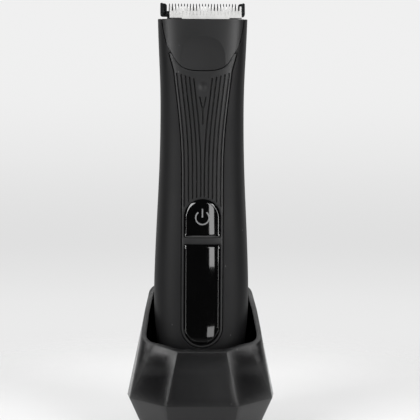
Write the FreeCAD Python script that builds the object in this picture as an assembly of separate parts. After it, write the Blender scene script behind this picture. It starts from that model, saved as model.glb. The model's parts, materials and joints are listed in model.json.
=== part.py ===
"""A cordless body groomer standing in its faceted charging dock, as separate pieces.

Millimetres. +Z is up, the front (button side) faces -Y, and the origin is on the table,
under the middle of the dock. Each piece is written to parts/NODE.step.
"""

import FreeCAD, Part
import math
import os

V = FreeCAD.Vector
X, Y, Z = V(1, 0, 0), V(0, 1, 0), V(0, 0, 1)

# ---------------------------------------------------------------- driving dimensions
GROOMER_BOTTOM = 24.0
SPLIT_Y = 1.0            # the front and rear shells meet here
CAP_TOP = 32.6           # the end cap ends and the shells begin
BODY_TOP = 171.0
SEAM = 0.12              # half the visible gap between two covers
WALL = 2.4
PANEL_THICK = 1.35
PANEL_GAP = 0.35         # shadow line round the front panel

# height, half width, front depth, back depth, squareness of the cross-section
BODY_SECTIONS = [
    (24.0, 13.4, 10.4, 11.0, 2.4),
    (28.0, 15.8, 12.5, 13.2, 2.4),
    (34.0, 17.4, 13.9, 14.7, 2.5),
    (42.0, 18.5, 14.8, 15.6, 2.6),
    (54.0, 19.35, 15.2, 16.2, 2.7),
    (70.0, 19.2, 15.1, 16.2, 2.8),
    (88.0, 18.45, 14.6, 15.2, 2.8),
    (108.0, 17.5, 13.7, 13.6, 2.8),
    (128.0, 17.0, 13.0, 12.4, 2.9),
    (146.0, 17.15, 12.7, 11.8, 3.2),
    (159.0, 17.7, 12.5, 11.5, 3.6),
    (174.0, 18.2, 11.9, 11.3, 4.0),
]
SECTION_POINTS = 32

# front panel edge, from the head down to the straight stretch: half width, height
WING_EDGE = [(16.85, 174.0), (15.7, 165.5), (15.0, 162.5), (13.5, 156.0), (11.95, 150.6)]
GRIP_EDGE = [(11.95, 150.6), (10.75, 140.5), (9.55, 129.5), (8.8, 118.5), (8.57, 106.0)]
PANEL_HALF = 8.57
WINDOW_ARC_Z = 46.95     # centre of the round lower end of panel and window
BUTTON_ARC_Z = 91.65     # centre of the round upper end of the button
OPENING_HALF = 7.45      # half width of the button and window openings
BUTTON_BOTTOM = 83.5
WINDOW_TOP = 80.9
HORN_TOP = 157.5

GROOVES = 5
GROOVE_FIRST = 1.3       # from the panel edge to the first groove
GROOVE_STEP = 1.64
GROOVE_WIDTH = 0.68
GROOVE_DEPTH = 0.6
GROOVE_TOP = 149.2
GROOVE_TOP_STEP = 0.5

# lower edge of the removable head, from the wing edge to the centre line
HEAD_EDGE = [(14.55, 160.6), (12.95, 157.8), (11.45, 155.3), (9.3, 152.55), (5.5, 150.8), (0.0, 150.45)]
HEAD_GAP = 0.2
HEAD_WALL = 1.8
HEAD_SPLIT_Y = -6.0
SCOOP_RADIUS = 150.0
SCOOP_DEPTH = 0.6
SCOOP_Z = 153.5
HEAD_ROOM_FRONT = -9.6
SEAT_BOTTOM = 164.7      # the solid that backs the blades starts here
CARRIER_PIN_Z = -4.3     # the pins that join the cutter to its drive block, in the blades' leaning frame

# blade set, in its own leaning frame
BLADE_SEAT = V(0, -1.2, 171.2)
BLADE_LEAN = 20.0
FIXED_TIP = 6.8
CUTTER_TIP = 5.3
STROKE = 2.5             # the cutter's full travel
CUTTER_REST = STROKE / 2
CUTTER_HALF = 14.6
BLADE_HALF = 17.15
BLADE_THICK = 1.0

MOTOR_Y = -1.5
MOTOR_BOTTOM = 106.0
MOTOR_TOP = 131.0
CAN_RADIUS = 10.05
CAN_HALF_DEPTH = 7.55
SHAFT_RADIUS = 1.0
CAM_BOTTOM = 151.6
CAM_TOP = 157.2
PIN_TOP = 163.4

BOARD_Y = -8.6           # front face of the main board
BOARD_THICK = 1.2
BUTTON_TRAVEL = 0.35
SWITCH_Z = BUTTON_ARC_Z - 0.6
SWITCH_FACE_Y = -10.5    # where the button's stem meets the switch

BATTERY_RADIUS = 7.1
BATTERY_Y = 4.6
BATTERY_BOTTOM = 47.0
BATTERY_LENGTH = 49.0

SCREW_SPOTS = [(12.8, 58.0), (12.0, 138.6)]

# dock
DOCK_FOOT_Z = 1.0
DOCK_WIDEST_Z = 16.5
DOCK_WALL = 2.0
DOCK_RIM_FRONT = 38.3
# height, front corner, side corner, side middle, rear side corner, rear corner, corner radius
DOCK_LEVELS = [
    (DOCK_FOOT_Z, (12.4, 18.2), (22.6, 6.3), 23.4, (22.6, 6.3), (12.4, 18.2), 0.5),
    (DOCK_WIDEST_Z, (14.4, 24.0), (29.3, 8.0), 30.4, (29.3, 8.0), (14.4, 24.0), 0.8),
    (46.0, (8.3, 20.9), (23.9, 18.2), 24.3, (23.4, 13.5), (9.5, 20.8), 8.5),
    (68.0, (3.9, 18.6), (20.3, 16.0), 20.0, (19.8, 12.4), (8.6, 19.4), 8.5),
]
# the rim's rake seen from the side: depth, height
RIM_PROFILE = [(-32.0, 36.9), (-21.7, DOCK_RIM_FRONT), (-12.0, 43.6), (0.0, 52.2), (10.0, 58.6), (17.0, 61.3), (24.0, 62.0)]
DECK_BOTTOM = 31.8
DECK_TOP = 33.6
CUP_GAP = 0.9
CUP_WALL = 1.6
CONTACT_X = 4.0
PIN_TRAVEL = 0.8
DOCK_BOSSES = [(15.2, 7.5), (15.2, -7.5), (-15.2, 7.5), (-15.2, -7.5)]
BOARD_POSTS = [(9.3, 10.5), (-9.3, 10.5), (9.3, -6.0), (-9.3, -6.0)]


# ---------------------------------------------------------------- helpers
def save(name, shape):
    """Writes one node and prints its solids and volume."""
    merged = shape.copy().removeSplitter()
    if merged.isValid() and abs(merged.Volume - shape.Volume) < 1e-4 * shape.Volume:
        shape = merged
    solids = shape.Solids
    if len(solids) == 1:
        shape = solids[0]
    else:
        shape = Part.makeCompound(solids)
    shape.exportStep("parts/%s.step" % name)
    print("%-20s solids %2d  volume %9.1f  valid %s" % (name, len(solids), shape.Volume, shape.isValid()))
    return shape


def box(x0, x1, y0, y1, z0, z1):
    return Part.makeBox(x1 - x0, y1 - y0, z1 - z0, V(x0, y0, z0))


def slab(z0, z1):
    return box(-60, 60, -60, 60, z0, z1)


def rod(radius, z0, z1, x=0.0, y=0.0):
    return Part.makeCylinder(radius, z1 - z0, V(x, y, z0), Z)


def cross_rod(radius, y0, y1, x, z):
    return Part.makeCylinder(radius, y1 - y0, V(x, y0, z), Y)


def ring(outer, inner, z0, z1, x=0.0, y=0.0):
    return rod(outer, z0, z1, x, y).cut(rod(inner, z0 - 1, z1 + 1, x, y))


def fuse(shapes):
    return shapes[0].fuse(shapes[1:]) if len(shapes) > 1 else shapes[0]


def spline(points, **ends):
    curve = Part.BSplineCurve()
    curve.interpolate(Points=points, **ends)
    return curve.toShape()


def line(a, b):
    return Part.makeLine(a, b)


def through_depth(edges):
    """A prism through the whole depth (along Y) of a closed outline that lies in the XZ plane."""
    return Part.Face(Part.Wire(edges)).extrude(V(0, 120, 0))


def front_point(x, z):
    return V(x, -60, z)


# ---------------------------------------------------------------- the groomer's outer form
def body_form(inset):
    """The groomer's outer form, shrunk by inset on every side (grown where it is negative)."""
    shares = [i / SECTION_POINTS for i in range(SECTION_POINTS + 1)]
    wires = []
    for height, half, front, back, square in BODY_SECTIONS:
        if height == BODY_SECTIONS[0][0]:
            height += inset
        points = []
        for share in shares[:-1]:
            turn = math.pi / 2 + 2 * math.pi * share
            c, s = math.cos(turn), math.sin(turn)
            wide, deep = half - inset, (back if s > 0 else front) - inset
            reach = (abs(c / wide) ** square + abs(s / deep) ** square) ** (-1 / square)
            points.append(V(c * reach, s * reach, height))
        curve = Part.BSplineCurve()
        curve.interpolate(Points=points, Parameters=shares, PeriodicFlag=True)
        wires.append(Part.Wire(curve.toShape()))
    return Part.makeLoft(wires, True, False)


FORMS = {}


def form(inset):
    if inset not in FORMS:
        FORMS[inset] = body_form(inset)
    return FORMS[inset]


def edge_half(z):
    """Half width of the front panel at a height, along straight runs between its edge points."""
    rows = sorted([(h, x) for x, h in WING_EDGE + GRIP_EDGE[1:]])
    if z <= rows[0][0]:
        return rows[0][1]
    for (z0, x0), (z1, x1) in zip(rows, rows[1:]):
        if z <= z1:
            return x0 + (x1 - x0) * (z - z0) / (z1 - z0)
    return rows[-1][1]


def panel_prism(inset, top):
    """The front panel's outline as a prism: widening wings above, straight sides and a round lower end."""
    half = PANEL_HALF - inset
    right_wing = [front_point(x - inset, z) for x, z in WING_EDGE]
    right_grip = [front_point(x - inset, z) for x, z in GRIP_EDGE]
    left_wing = [V(-p.x, p.y, p.z) for p in reversed(right_wing)]
    left_grip = [V(-p.x, p.y, p.z) for p in reversed(right_grip)]
    centre = WINDOW_ARC_Z
    edges = [
        spline(right_wing),
        spline(right_grip),
        line(right_grip[-1], front_point(half, centre)),
        Part.Arc(front_point(half, centre), front_point(0, centre - half), front_point(-half, centre)).toShape(),
        line(front_point(-half, centre), left_grip[0]),
        spline(left_grip),
        spline(left_wing),
        line(left_wing[-1], right_wing[0]),
    ]
    return through_depth(edges).common(slab(0, top))


def head_prism(inset):
    """The removable head's outline as a prism: wing edges at the sides and a round lower edge."""
    wing = [(x - inset, z) for x, z in WING_EDGE if z > HEAD_EDGE[0][1]]
    low = []
    for i, (x, z) in enumerate(HEAD_EDGE):
        share = i / (len(HEAD_EDGE) - 1)
        low.append((x - inset * math.cos(share * math.pi / 2), z + inset * math.sin(share * math.pi / 2)))
    low[-1] = (0.0, low[-1][1])
    right = [front_point(x, z) for x, z in wing + low[:1]]
    mirrored_low = low[:-1] + [low[-1]] + [(-x, z) for x, z in reversed(low[:-1])]
    bottom = [front_point(x, z) for x, z in mirrored_low]
    left = [V(-p.x, p.y, p.z) for p in reversed(right)]
    edges = [spline(right), spline(bottom), spline(left), line(left[-1], right[0])]
    return through_depth(edges)


def arch_prism(inset):
    """The power button's outline: a flat foot and a round top."""
    half, foot, centre = OPENING_HALF - inset, BUTTON_BOTTOM + inset, BUTTON_ARC_Z
    return through_depth([
        line(front_point(-half, foot), front_point(half, foot)),
        line(front_point(half, foot), front_point(half, centre)),
        Part.Arc(front_point(half, centre), front_point(0, centre + half), front_point(-half, centre)).toShape(),
        line(front_point(-half, centre), front_point(-half, foot)),
    ])


def window_prism(inset):
    """The display window's outline: a flat top and a round lower end."""
    half, top, centre = OPENING_HALF - inset, WINDOW_TOP - inset, WINDOW_ARC_Z
    return through_depth([
        line(front_point(half, top), front_point(-half, top)),
        line(front_point(-half, top), front_point(-half, centre)),
        Part.Arc(front_point(-half, centre), front_point(0, centre - half), front_point(half, centre)).toShape(),
        line(front_point(half, centre), front_point(half, top)),
    ])


def back_slope():
    """What is cut off behind the blade, so that the head can lie flat against the skin."""
    points = [V(-40, 3.4, 171.0), V(-40, 3.4, 190), V(-40, 30, 190), V(-40, 30, 140.6)]
    return Part.Face(Part.makePolygon(points + points[:1])).extrude(V(80, 0, 0))


def groove_band(side, number):
    """One long groove that runs beside the panel edge, as a prism through the depth."""
    offset = GROOVE_FIRST + GROOVE_STEP * number
    x_low = PANEL_HALF - offset
    reach = OPENING_HALF + 1.1
    foot = BUTTON_ARC_Z + math.sqrt(max(reach ** 2 - x_low ** 2, 4.5 ** 2))
    top = GROOVE_TOP - GROOVE_TOP_STEP * number
    heights = [foot, 106.0, 112.0, 118.5, 124.0, 129.5, 135.0, 140.5, 145.0, top]
    inner, outer = [], []
    for z in heights:
        x = side * (edge_half(z) - offset)
        inner.append(front_point(x - GROOVE_WIDTH / 2, z))
        outer.append(front_point(x + GROOVE_WIDTH / 2, z))
    return through_depth([
        spline(inner), line(inner[-1], outer[-1]), spline(list(reversed(outer))), line(outer[0], inner[0]),
    ])


def short_grooves():
    """The two short grooves that meet in a V and run on as one, between the long ones."""
    half = GROOVE_WIDTH / 2
    left = [front_point(-1.25 - half, 140.0), front_point(-1.25 + half, 140.0),
            front_point(half, 134.6), front_point(-half, 134.6)]
    right = [V(-p.x, p.y, p.z) for p in reversed(left)]
    bands = [Part.Face(Part.makePolygon(p + p[:1])).extrude(V(0, 120, 0)) for p in (left, right)]
    return fuse(bands + [box(-half, half, -60, 0, 129.0, 134.8)])


# ---------------------------------------------------------------- handle shells
def housing_half(front):
    """One half of the main housing, with its share of the opening for the head."""
    wall = form(0).cut(form(WALL)).common(slab(CAP_TOP + 2 * SEAM, BODY_TOP))
    if front:
        side = wall.common(box(-60, 60, -60, SPLIT_Y - SEAM / 2, 0, 200))
    else:
        side = wall.common(box(-60, 60, SPLIT_Y + SEAM / 2, 60, 0, 200))
    return side.cut(head_prism(-HEAD_GAP + 0.05)).cut(back_slope())


def front_shell():
    shell = housing_half(True)
    bosses = []
    for x, z in SCREW_SPOTS:
        for side in (-1, 1):
            bosses.append(cross_rod(2.1, -20, SPLIT_Y - SEAM, side * x, z))
    inside = form(WALL - 0.3).common(box(-60, 60, -60, SPLIT_Y - SEAM / 2, 0, 200))
    shell = shell.fuse(fuse(bosses).common(inside))
    pocket = panel_prism(0, HORN_TOP + 0.1).common(form(-1).cut(form(PANEL_THICK + 0.1)))
    shell = shell.cut(pocket)
    shell = shell.cut(arch_prism(0.4)).cut(box(-4.2, 4.2, -60, -8, 52.0, 76.0))
    for x, z in SCREW_SPOTS:
        for side in (-1, 1):
            shell = shell.cut(cross_rod(0.85, SPLIT_Y - 8, SPLIT_Y + 1, side * x, z))
    return shell


def rear_shell():
    shell = housing_half(False)
    bosses = []
    for x, z in SCREW_SPOTS:
        for side in (-1, 1):
            bosses.append(cross_rod(2.3, SPLIT_Y + SEAM, 30, side * x, z))
    inside = form(WALL - 0.3).common(box(-60, 60, SPLIT_Y + SEAM / 2, 60, 0, 200))
    shell = shell.fuse(fuse(bosses).common(inside))
    for x, z in SCREW_SPOTS:
        for side in (-1, 1):
            shell = shell.cut(cross_rod(1.15, 0, 30, side * x, z))
            shell = shell.cut(cross_rod(1.95, 4.6, 30, side * x, z))
    return shell


def housing_screws():
    screws = []
    for x, z in SCREW_SPOTS:
        for side in (-1, 1):
            shank = cross_rod(0.8, -5.5, 4.0, side * x, z)
            head = cross_rod(1.8, 3.0 + 1.6, 6.0, side * x, z)
            neck = cross_rod(1.1, 4.0, 4.7, side * x, z)
            drive = cross_rod(0.75, 5.3, 6.1, side * x, z)
            screws.append(fuse([shank, neck, head]).cut(drive))
    return Part.makeCompound(screws)


def front_panel():
    layer = form(0).cut(form(PANEL_THICK))
    panel = layer.common(panel_prism(PANEL_GAP, HORN_TOP)).common(slab(30, HORN_TOP))
    panel = panel.common(box(-60, 60, -60, -3, 0, 200)).cut(head_prism(-HEAD_GAP))
    cutters = [groove_band(side, n) for side in (-1, 1) for n in range(GROOVES)]
    cutters.append(short_grooves())
    depth = form(-1).cut(form(GROOVE_DEPTH))
    grooves = Part.makeCompound(cutters).common(depth)
    return panel.cut(grooves).cut(arch_prism(0)).cut(window_prism(0)).cut(dimple())


def dimple():
    """A shallow plain dish at the top of the grip, where the grooves leave a blank V."""
    ball = Part.makeSphere(4.0, V(0, -12.62 - 3.72, 144.2))
    return ball


def display_window():
    window = form(-0.2).cut(form(PANEL_THICK)).common(window_prism(0.14)).common(box(-60, 60, -60, -3, 0, 200))
    return round_front_edges(window, 0.5)


def round_front_edges(shape, radius):
    """Rounds the outer front edges of a flush glossy insert."""
    edges = []
    for edge in shape.Edges:
        middle = edge.valueAt((edge.FirstParameter + edge.LastParameter) / 2)
        inner = shape.BoundBox.YMax
        along = edge.tangentAt((edge.FirstParameter + edge.LastParameter) / 2)
        if middle.y < inner - 1.6 and abs(along.y) < 0.5:
            edges.append(edge)
    return shape.makeFillet(radius, edges)


def power_button():
    outline = arch_prism(0.14).common(box(-60, 60, -60, -3, 0, 200))
    cap = form(-0.25).cut(form(PANEL_THICK - BUTTON_TRAVEL)).common(outline)
    cap = round_front_edges(cap, 0.5)
    foot = form(0.8).cut(form(WALL - 0.4)).common(arch_prism(0.6)).common(box(-60, 60, -60, -3, 0, 200))
    stem = cross_rod(1.6, -12.8, SWITCH_FACE_Y - 0.05, 0, SWITCH_Z)
    button = fuse([cap, foot, stem])
    return button.cut(symbol_prism(0).common(form(-1).cut(form(0.15))))


def symbol_prism(inset):
    """The usual power sign, an open ring with a stroke, as a prism through the depth."""
    outer = cross_rod(3.0 - inset, -60, 0, 0, BUTTON_ARC_Z)
    inner = cross_rod(2.4 + inset, -61, 1, 0, BUTTON_ARC_Z)
    gap = [V(0, -60, BUTTON_ARC_Z), V(3.4, -60, BUTTON_ARC_Z + 4.2), V(-3.4, -60, BUTTON_ARC_Z + 4.2)]
    wedge = Part.Face(Part.makePolygon(gap + gap[:1])).extrude(V(0, 60, 0))
    half = 0.32 - inset
    stroke = box(-half, half, -60, 0, BUTTON_ARC_Z + 0.1 + inset, BUTTON_ARC_Z + 3.4 - inset)
    return outer.cut(inner).cut(wedge).fuse(stroke)


def power_symbol():
    return symbol_prism(0.02).common(form(-0.27).cut(form(0.13)))


# ---------------------------------------------------------------- handle internals
def button_seal():
    """A thin silicone skin behind the opening, with a hole that grips the button's stem."""
    skin = form(WALL + 0.02).cut(form(WALL + 0.5)).common(arch_prism(-0.9))
    skin = skin.common(box(-60, 60, -60, -3, 0, 200))
    return skin.cut(cross_rod(1.66, -20, 0, 0, SWITCH_Z))


def switch_base():
    body = box(-3.0, 3.0, SWITCH_FACE_Y + 0.4, BOARD_Y, SWITCH_Z - 3.0, SWITCH_Z + 3.0)
    legs = [box(s * 3.3 - 0.3, s * 3.3 + 0.3, BOARD_Y - 0.3, BOARD_Y, SWITCH_Z + h - 0.4, SWITCH_Z + h + 0.4)
            for s in (-1, 1) for h in (-2.2, 2.2)]
    return fuse([body] + legs).cut(cross_rod(1.25, SWITCH_FACE_Y, -9.4, 0, SWITCH_Z))


def switch_plunger():
    return cross_rod(1.15, SWITCH_FACE_Y, -9.85, 0, SWITCH_Z)


def main_board():
    board = box(-9.0, 9.0, BOARD_Y, BOARD_Y + BOARD_THICK, 40.0, 99.0)
    corner = 2.0
    for x in (-9.0, 9.0):
        for z in (40.0, 99.0):
            board = board.cut(box(x - corner, x + corner, -20, 0, z - corner, z + corner).cut(
                cross_rod(corner, -20, 0, x - math.copysign(corner, x), z + (corner if z < 50 else -corner))))
    return board


def board_parts():
    """Chips, a coil and a connector soldered to the main board."""
    back = BOARD_Y + BOARD_THICK
    parts = [box(-3.2, 3.2, back, back + 1.0, 40.9, 44.9), box(4.4, 7.4, BOARD_Y - 1.0, BOARD_Y, 84.0, 88.0)]
    parts.append(box(-7.6, -4.6, BOARD_Y - 0.9, BOARD_Y, 84.5, 87.5))
    parts.append(box(-6.0, 6.0, BOARD_Y - 1.4, BOARD_Y, 41.5, 45.5))
    for i in range(5):
        parts.append(box(-7.9, -6.9, BOARD_Y - 0.5, BOARD_Y, 50.0 + 3 * i, 51.8 + 3 * i))
        parts.append(box(6.9, 7.9, BOARD_Y - 0.5, BOARD_Y, 50.0 + 3 * i, 51.8 + 3 * i))
    return Part.makeCompound(parts)


def indicator_leds():
    return Part.makeCompound([
        box(-0.8, 0.8, BOARD_Y - 0.7, BOARD_Y, 54.0 + 4.6 * i, 55.0 + 4.6 * i) for i in range(5)
    ])


def light_guide():
    """Clear block that carries the lamps' light to the window."""
    block = box(-3.8, 3.8, -60, BOARD_Y - 0.9, 52.4, 75.6).common(form(PANEL_THICK + 0.12))
    return block.cut(box(-2.6, 2.6, -11.6, 0, 53.4, 74.6))


def battery_cell():
    top = BATTERY_BOTTOM + BATTERY_LENGTH
    return rod(BATTERY_RADIUS, BATTERY_BOTTOM, top, 0, BATTERY_Y).fuse(rod(2.8, top, top + 1.0, 0, BATTERY_Y))


def battery_tabs():
    top = BATTERY_BOTTOM + BATTERY_LENGTH + 1.0
    upper = box(-2.0, 2.0, BOARD_Y + 2.2, BATTERY_Y + 2.5, top, top + 0.25)
    lower = box(-2.0, 2.0, BOARD_Y + 2.2, BATTERY_Y + 2.5, BATTERY_BOTTOM - 0.25, BATTERY_BOTTOM)
    upper_leg = box(-2.0, 2.0, BOARD_Y + BOARD_THICK, BOARD_Y + 2.45, top, top + 0.25)
    lower_leg = box(-2.0, 2.0, BOARD_Y + BOARD_THICK, BOARD_Y + 2.45, BATTERY_BOTTOM - 0.25, BATTERY_BOTTOM)
    return Part.makeCompound([upper.fuse(upper_leg), lower.fuse(lower_leg)])


def battery_cradle():
    """The inner frame: a trough for the cell, with a plate that carries the board."""
    z0, z1 = BATTERY_BOTTOM - 4.0, BATTERY_BOTTOM + BATTERY_LENGTH + 4.2
    block = box(-9.6, 9.6, BOARD_Y + BOARD_THICK + 0.1, BATTERY_Y + 1.0, z0, z1)
    trough = rod(BATTERY_RADIUS + 0.12, BATTERY_BOTTOM - 0.4, BATTERY_BOTTOM + BATTERY_LENGTH + 1.4, 0, BATTERY_Y)
    window = box(-6.0, 6.0, -20, BATTERY_Y - 4, BATTERY_BOTTOM + 4, BATTERY_BOTTOM + BATTERY_LENGTH - 4)
    top_slot = box(-2.3, 2.3, -20, 20, BATTERY_BOTTOM + BATTERY_LENGTH - 0.2, BATTERY_BOTTOM + BATTERY_LENGTH + 1.6)
    low_slot = box(-2.3, 2.3, -20, 20, BATTERY_BOTTOM - 0.6, BATTERY_BOTTOM + 0.2)
    frame = block.cut(trough).cut(window).cut(top_slot).cut(low_slot).cut(box(-3.4, 3.4, -20, -6.2, 40, 45.2))
    return frame


def can_outline(radius, half_depth, z0, z1):
    return rod(radius, z0, z1, 0, MOTOR_Y).common(
        box(-30, 30, MOTOR_Y - half_depth, MOTOR_Y + half_depth, z0, z1))


def motor_can():
    shell = can_outline(CAN_RADIUS, CAN_HALF_DEPTH, MOTOR_BOTTOM, MOTOR_TOP)
    hollow = can_outline(CAN_RADIUS - 0.8, CAN_HALF_DEPTH - 0.8, MOTOR_BOTTOM - 1, MOTOR_TOP - 0.8)
    nose = rod(3.0, MOTOR_TOP, MOTOR_TOP + 1.4, 0, MOTOR_Y)
    can = shell.cut(hollow).fuse(nose).cut(rod(2.0, MOTOR_TOP - 2, MOTOR_TOP + 3, 0, MOTOR_Y))
    for x in (-6.0, 6.0):
        can = can.cut(rod(0.85, MOTOR_TOP - 2, MOTOR_TOP + 1, x, MOTOR_Y))
    return can


def motor_end_cap():
    cap = can_outline(CAN_RADIUS, CAN_HALF_DEPTH, MOTOR_BOTTOM - 2.4, MOTOR_BOTTOM - 0.05)
    spigot = can_outline(CAN_RADIUS - 0.9, CAN_HALF_DEPTH - 0.9, MOTOR_BOTTOM - 0.05, MOTOR_BOTTOM + 1.6)
    spigot = spigot.cut(rod(5.2, MOTOR_BOTTOM, MOTOR_BOTTOM + 3, 0, MOTOR_Y))
    cap = cap.fuse(spigot).cut(rod(2.0, MOTOR_BOTTOM - 3, MOTOR_BOTTOM + 3, 0, MOTOR_Y))
    for x in (-6.5, 6.5):
        cap = cap.cut(box(x - 1.05, x + 1.05, MOTOR_Y - 0.25, MOTOR_Y + 0.25, MOTOR_BOTTOM - 3, MOTOR_BOTTOM + 3))
    return cap


def motor_terminals():
    return Part.makeCompound([
        box(x - 1.0, x + 1.0, MOTOR_Y - 0.2, MOTOR_Y + 0.2, MOTOR_BOTTOM - 4.4, MOTOR_BOTTOM + 1.4)
        for x in (-6.5, 6.5)])


def motor_bushes():
    gap = 0.03
    low = ring(2.0, SHAFT_RADIUS + gap, MOTOR_BOTTOM - 2.2, MOTOR_BOTTOM + 0.2, 0, MOTOR_Y)
    high = ring(2.0, SHAFT_RADIUS + gap, MOTOR_TOP - 0.8, MOTOR_TOP + 1.3, 0, MOTOR_Y)
    return Part.makeCompound([low, high])


def motor_magnets():
    tube = ring(9.2, 6.9, MOTOR_BOTTOM + 3.2, MOTOR_TOP - 3.2, 0, MOTOR_Y)
    inside = box(-30, 30, MOTOR_Y - 5.6, MOTOR_Y + 5.6, 0, 200)
    sides = tube.common(inside)
    return sides.cut(box(-4, 4, -30, 30, 0, 200))


def motor_shaft():
    return rod(SHAFT_RADIUS, MOTOR_BOTTOM - 1.8, CAM_BOTTOM + 4.0, 0, MOTOR_Y)


def motor_armature():
    z0, z1 = MOTOR_BOTTOM + 5.5, MOTOR_TOP - 4.0
    core = rod(6.3, z0, z1, 0, MOTOR_Y)
    for i in range(3):
        turn = math.radians(60 + 120 * i)
        slot = box(2.6, 8.0, -0.7, 0.7, z0 - 1, z1 + 1)
        slot.rotate(V(0, 0, 0), Z, math.degrees(turn))
        slot.translate(V(0, MOTOR_Y, 0))
        core = core.cut(slot)
    return core.cut(rod(SHAFT_RADIUS, z0 - 1, z1 + 1, 0, MOTOR_Y))


def commutator():
    return ring(2.5, SHAFT_RADIUS, MOTOR_BOTTOM + 0.6, MOTOR_BOTTOM + 4.4, 0, MOTOR_Y)


def eccentric_cam():
    cam = rod(3.6, CAM_BOTTOM, CAM_TOP, 0, MOTOR_Y)
    cam = cam.cut(rod(SHAFT_RADIUS, CAM_BOTTOM - 1, CAM_BOTTOM + 4.0, 0, MOTOR_Y))
    return cam.cut(rod(1.0, CAM_TOP - 1.4, CAM_TOP + 1, CUTTER_REST, MOTOR_Y))


def drive_pin():
    return rod(1.0, CAM_TOP - 1.4, PIN_TOP, CUTTER_REST, MOTOR_Y)


def motor_bracket():
    """The bulkhead that carries the motor."""
    z0, z1 = MOTOR_TOP + 0.05, MOTOR_TOP + 3.0
    plate = form(WALL + 0.2).common(slab(z0, z1)).cut(rod(3.1, z0 - 1, z1 + 1, 0, MOTOR_Y))
    for x in (-6.0, 6.0):
        plate = plate.cut(rod(1.0, z0 - 1, z1 + 1, x, MOTOR_Y))
    return plate


def motor_screws():
    top = MOTOR_TOP + 3.0
    screws = []
    for x in (-6.0, 6.0):
        shank = rod(0.84, MOTOR_TOP - 1.6, top, x, MOTOR_Y)
        head = rod(1.7, top, top + 1.1, x, MOTOR_Y).cut(rod(0.7, top + 0.4, top + 2, x, MOTOR_Y))
        screws.append(shank.fuse(head))
    return Part.makeCompound(screws)


def head_socket():
    """The cradle in the neck that the removable head drops into."""
    block = form(WALL + 0.2).common(slab(142.5, 160.0)).cut(head_prism(-0.45))
    block = block.cut(rod(4.4, 146.2, 160, 0, MOTOR_Y)).cut(rod(5.05, 144.4, 146.3, 0, MOTOR_Y))
    block = block.cut(rod(1.6, 140, 146, 0, MOTOR_Y))
    for side in (-1, 1):
        block = block.cut(box(min(side * 8.35, side * 9.65), max(side * 8.35, side * 9.65), -4.6, 1.6, 146.4, 160))
    return block.cut(back_slope())


def shaft_seal():
    return ring(5.0, SHAFT_RADIUS + 0.08, 144.45, 146.1, 0, MOTOR_Y)


def latch_clips():
    """Spring-steel leaves that hold the head down."""
    clips = []
    for side in (-1, 1):
        leaf = box(8.5, 8.9, -4.2, 1.2, 146.5, 156.0)
        nub = Part.makeCylinder(0.35, 5.4, V(8.6, -4.2, 155.2), Y)
        foot = box(8.5, 9.5, -4.2, 1.2, 146.5, 146.9)
        clip = fuse([leaf, nub, foot])
        clips.append(clip if side > 0 else clip.mirror(V(0, 0, 0), X))
    return Part.makeCompound(clips)


def end_cap():
    cup = form(0).common(slab(0, CAP_TOP)).cut(form(3.9).common(slab(GROOMER_BOTTOM + 3.4, 60)))
    spigot = form(WALL + 0.12).cut(form(3.9)).common(slab(CAP_TOP - 0.5, 37.2))
    neck = form(WALL - 0.1).cut(form(3.15)).common(slab(34.2, 35.5))
    cap = cup.fuse(spigot).cut(neck)
    for x in (-CONTACT_X, CONTACT_X):
        cap = cap.cut(rod(2.25, 20, GROOMER_BOTTOM + 0.8, x, 0)).cut(rod(0.55, 20, 40, x, 0))
    return cap


def charge_pads():
    return Part.makeCompound([
        rod(2.22, GROOMER_BOTTOM, GROOMER_BOTTOM + 0.8, x, 0).fuse(rod(0.5, GROOMER_BOTTOM, 31.0, x, 0))
        for x in (-CONTACT_X, CONTACT_X)])


def end_cap_seal():
    return form(WALL + 0.02).cut(form(3.13)).common(slab(34.25, 35.45))


# ---------------------------------------------------------------- removable head
def lean(shape):
    """Carries a blade piece from its own upright frame to its leaning seat in the head."""
    shape.rotate(V(0, 0, 0), X, -BLADE_LEAN)
    shape.translate(BLADE_SEAT)
    return shape


def head_plug():
    return form(0).common(head_prism(HEAD_GAP - 0.05)).common(slab(140, BODY_TOP)).cut(back_slope())


def head_hollow():
    """The room inside the head for the drive block, less the solid seat behind the blades."""
    room = form(HEAD_WALL).common(head_prism(2.1)).common(box(-60, 60, HEAD_ROOM_FRONT, 60, 152.6, BODY_TOP - 1.5))
    seat = lean(box(-17, 17, BLADE_THICK + 0.05, 20, -12, 8)).common(slab(SEAT_BOTTOM, 200))
    slot = lean(box(-15.95, 15.95, -1.6, BLADE_THICK + 0.05, -7.4, 4))
    slot = slot.common(form(HEAD_WALL - 0.6)).common(slab(SEAT_BOTTOM, BODY_TOP + 1))
    return room.cut(seat).fuse(slot)


def scoop():
    """The thumb rest: a wide shallow bowl pressed into the front of the head."""
    centre = V(0, -12.55 - SCOOP_RADIUS + SCOOP_DEPTH, SCOOP_Z)
    return Part.makeSphere(SCOOP_RADIUS, centre)


def head_cover():
    cover = head_plug().common(box(-60, 60, -60, HEAD_SPLIT_Y - 0.05, 0, 200))
    return cover.cut(head_hollow()).cut(scoop())


def head_base():
    base = head_plug().common(box(-60, 60, HEAD_SPLIT_Y + 0.05, 60, 0, 200)).cut(head_hollow())
    base = base.cut(rod(4.3, 140, 153, 0, MOTOR_Y))
    for side in (-1, 1):
        base = base.cut(box(min(side * 8.2, side * 9.8), max(side * 8.2, side * 9.8), -5.0, 2.0, 140, 157))
    for x in (-12.6, 12.6):
        hole = lean(Part.makeCylinder(0.8, 4.0, V(x, BLADE_THICK - 0.5, -3.8), Y))
        base = base.cut(hole)
    return base


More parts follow.
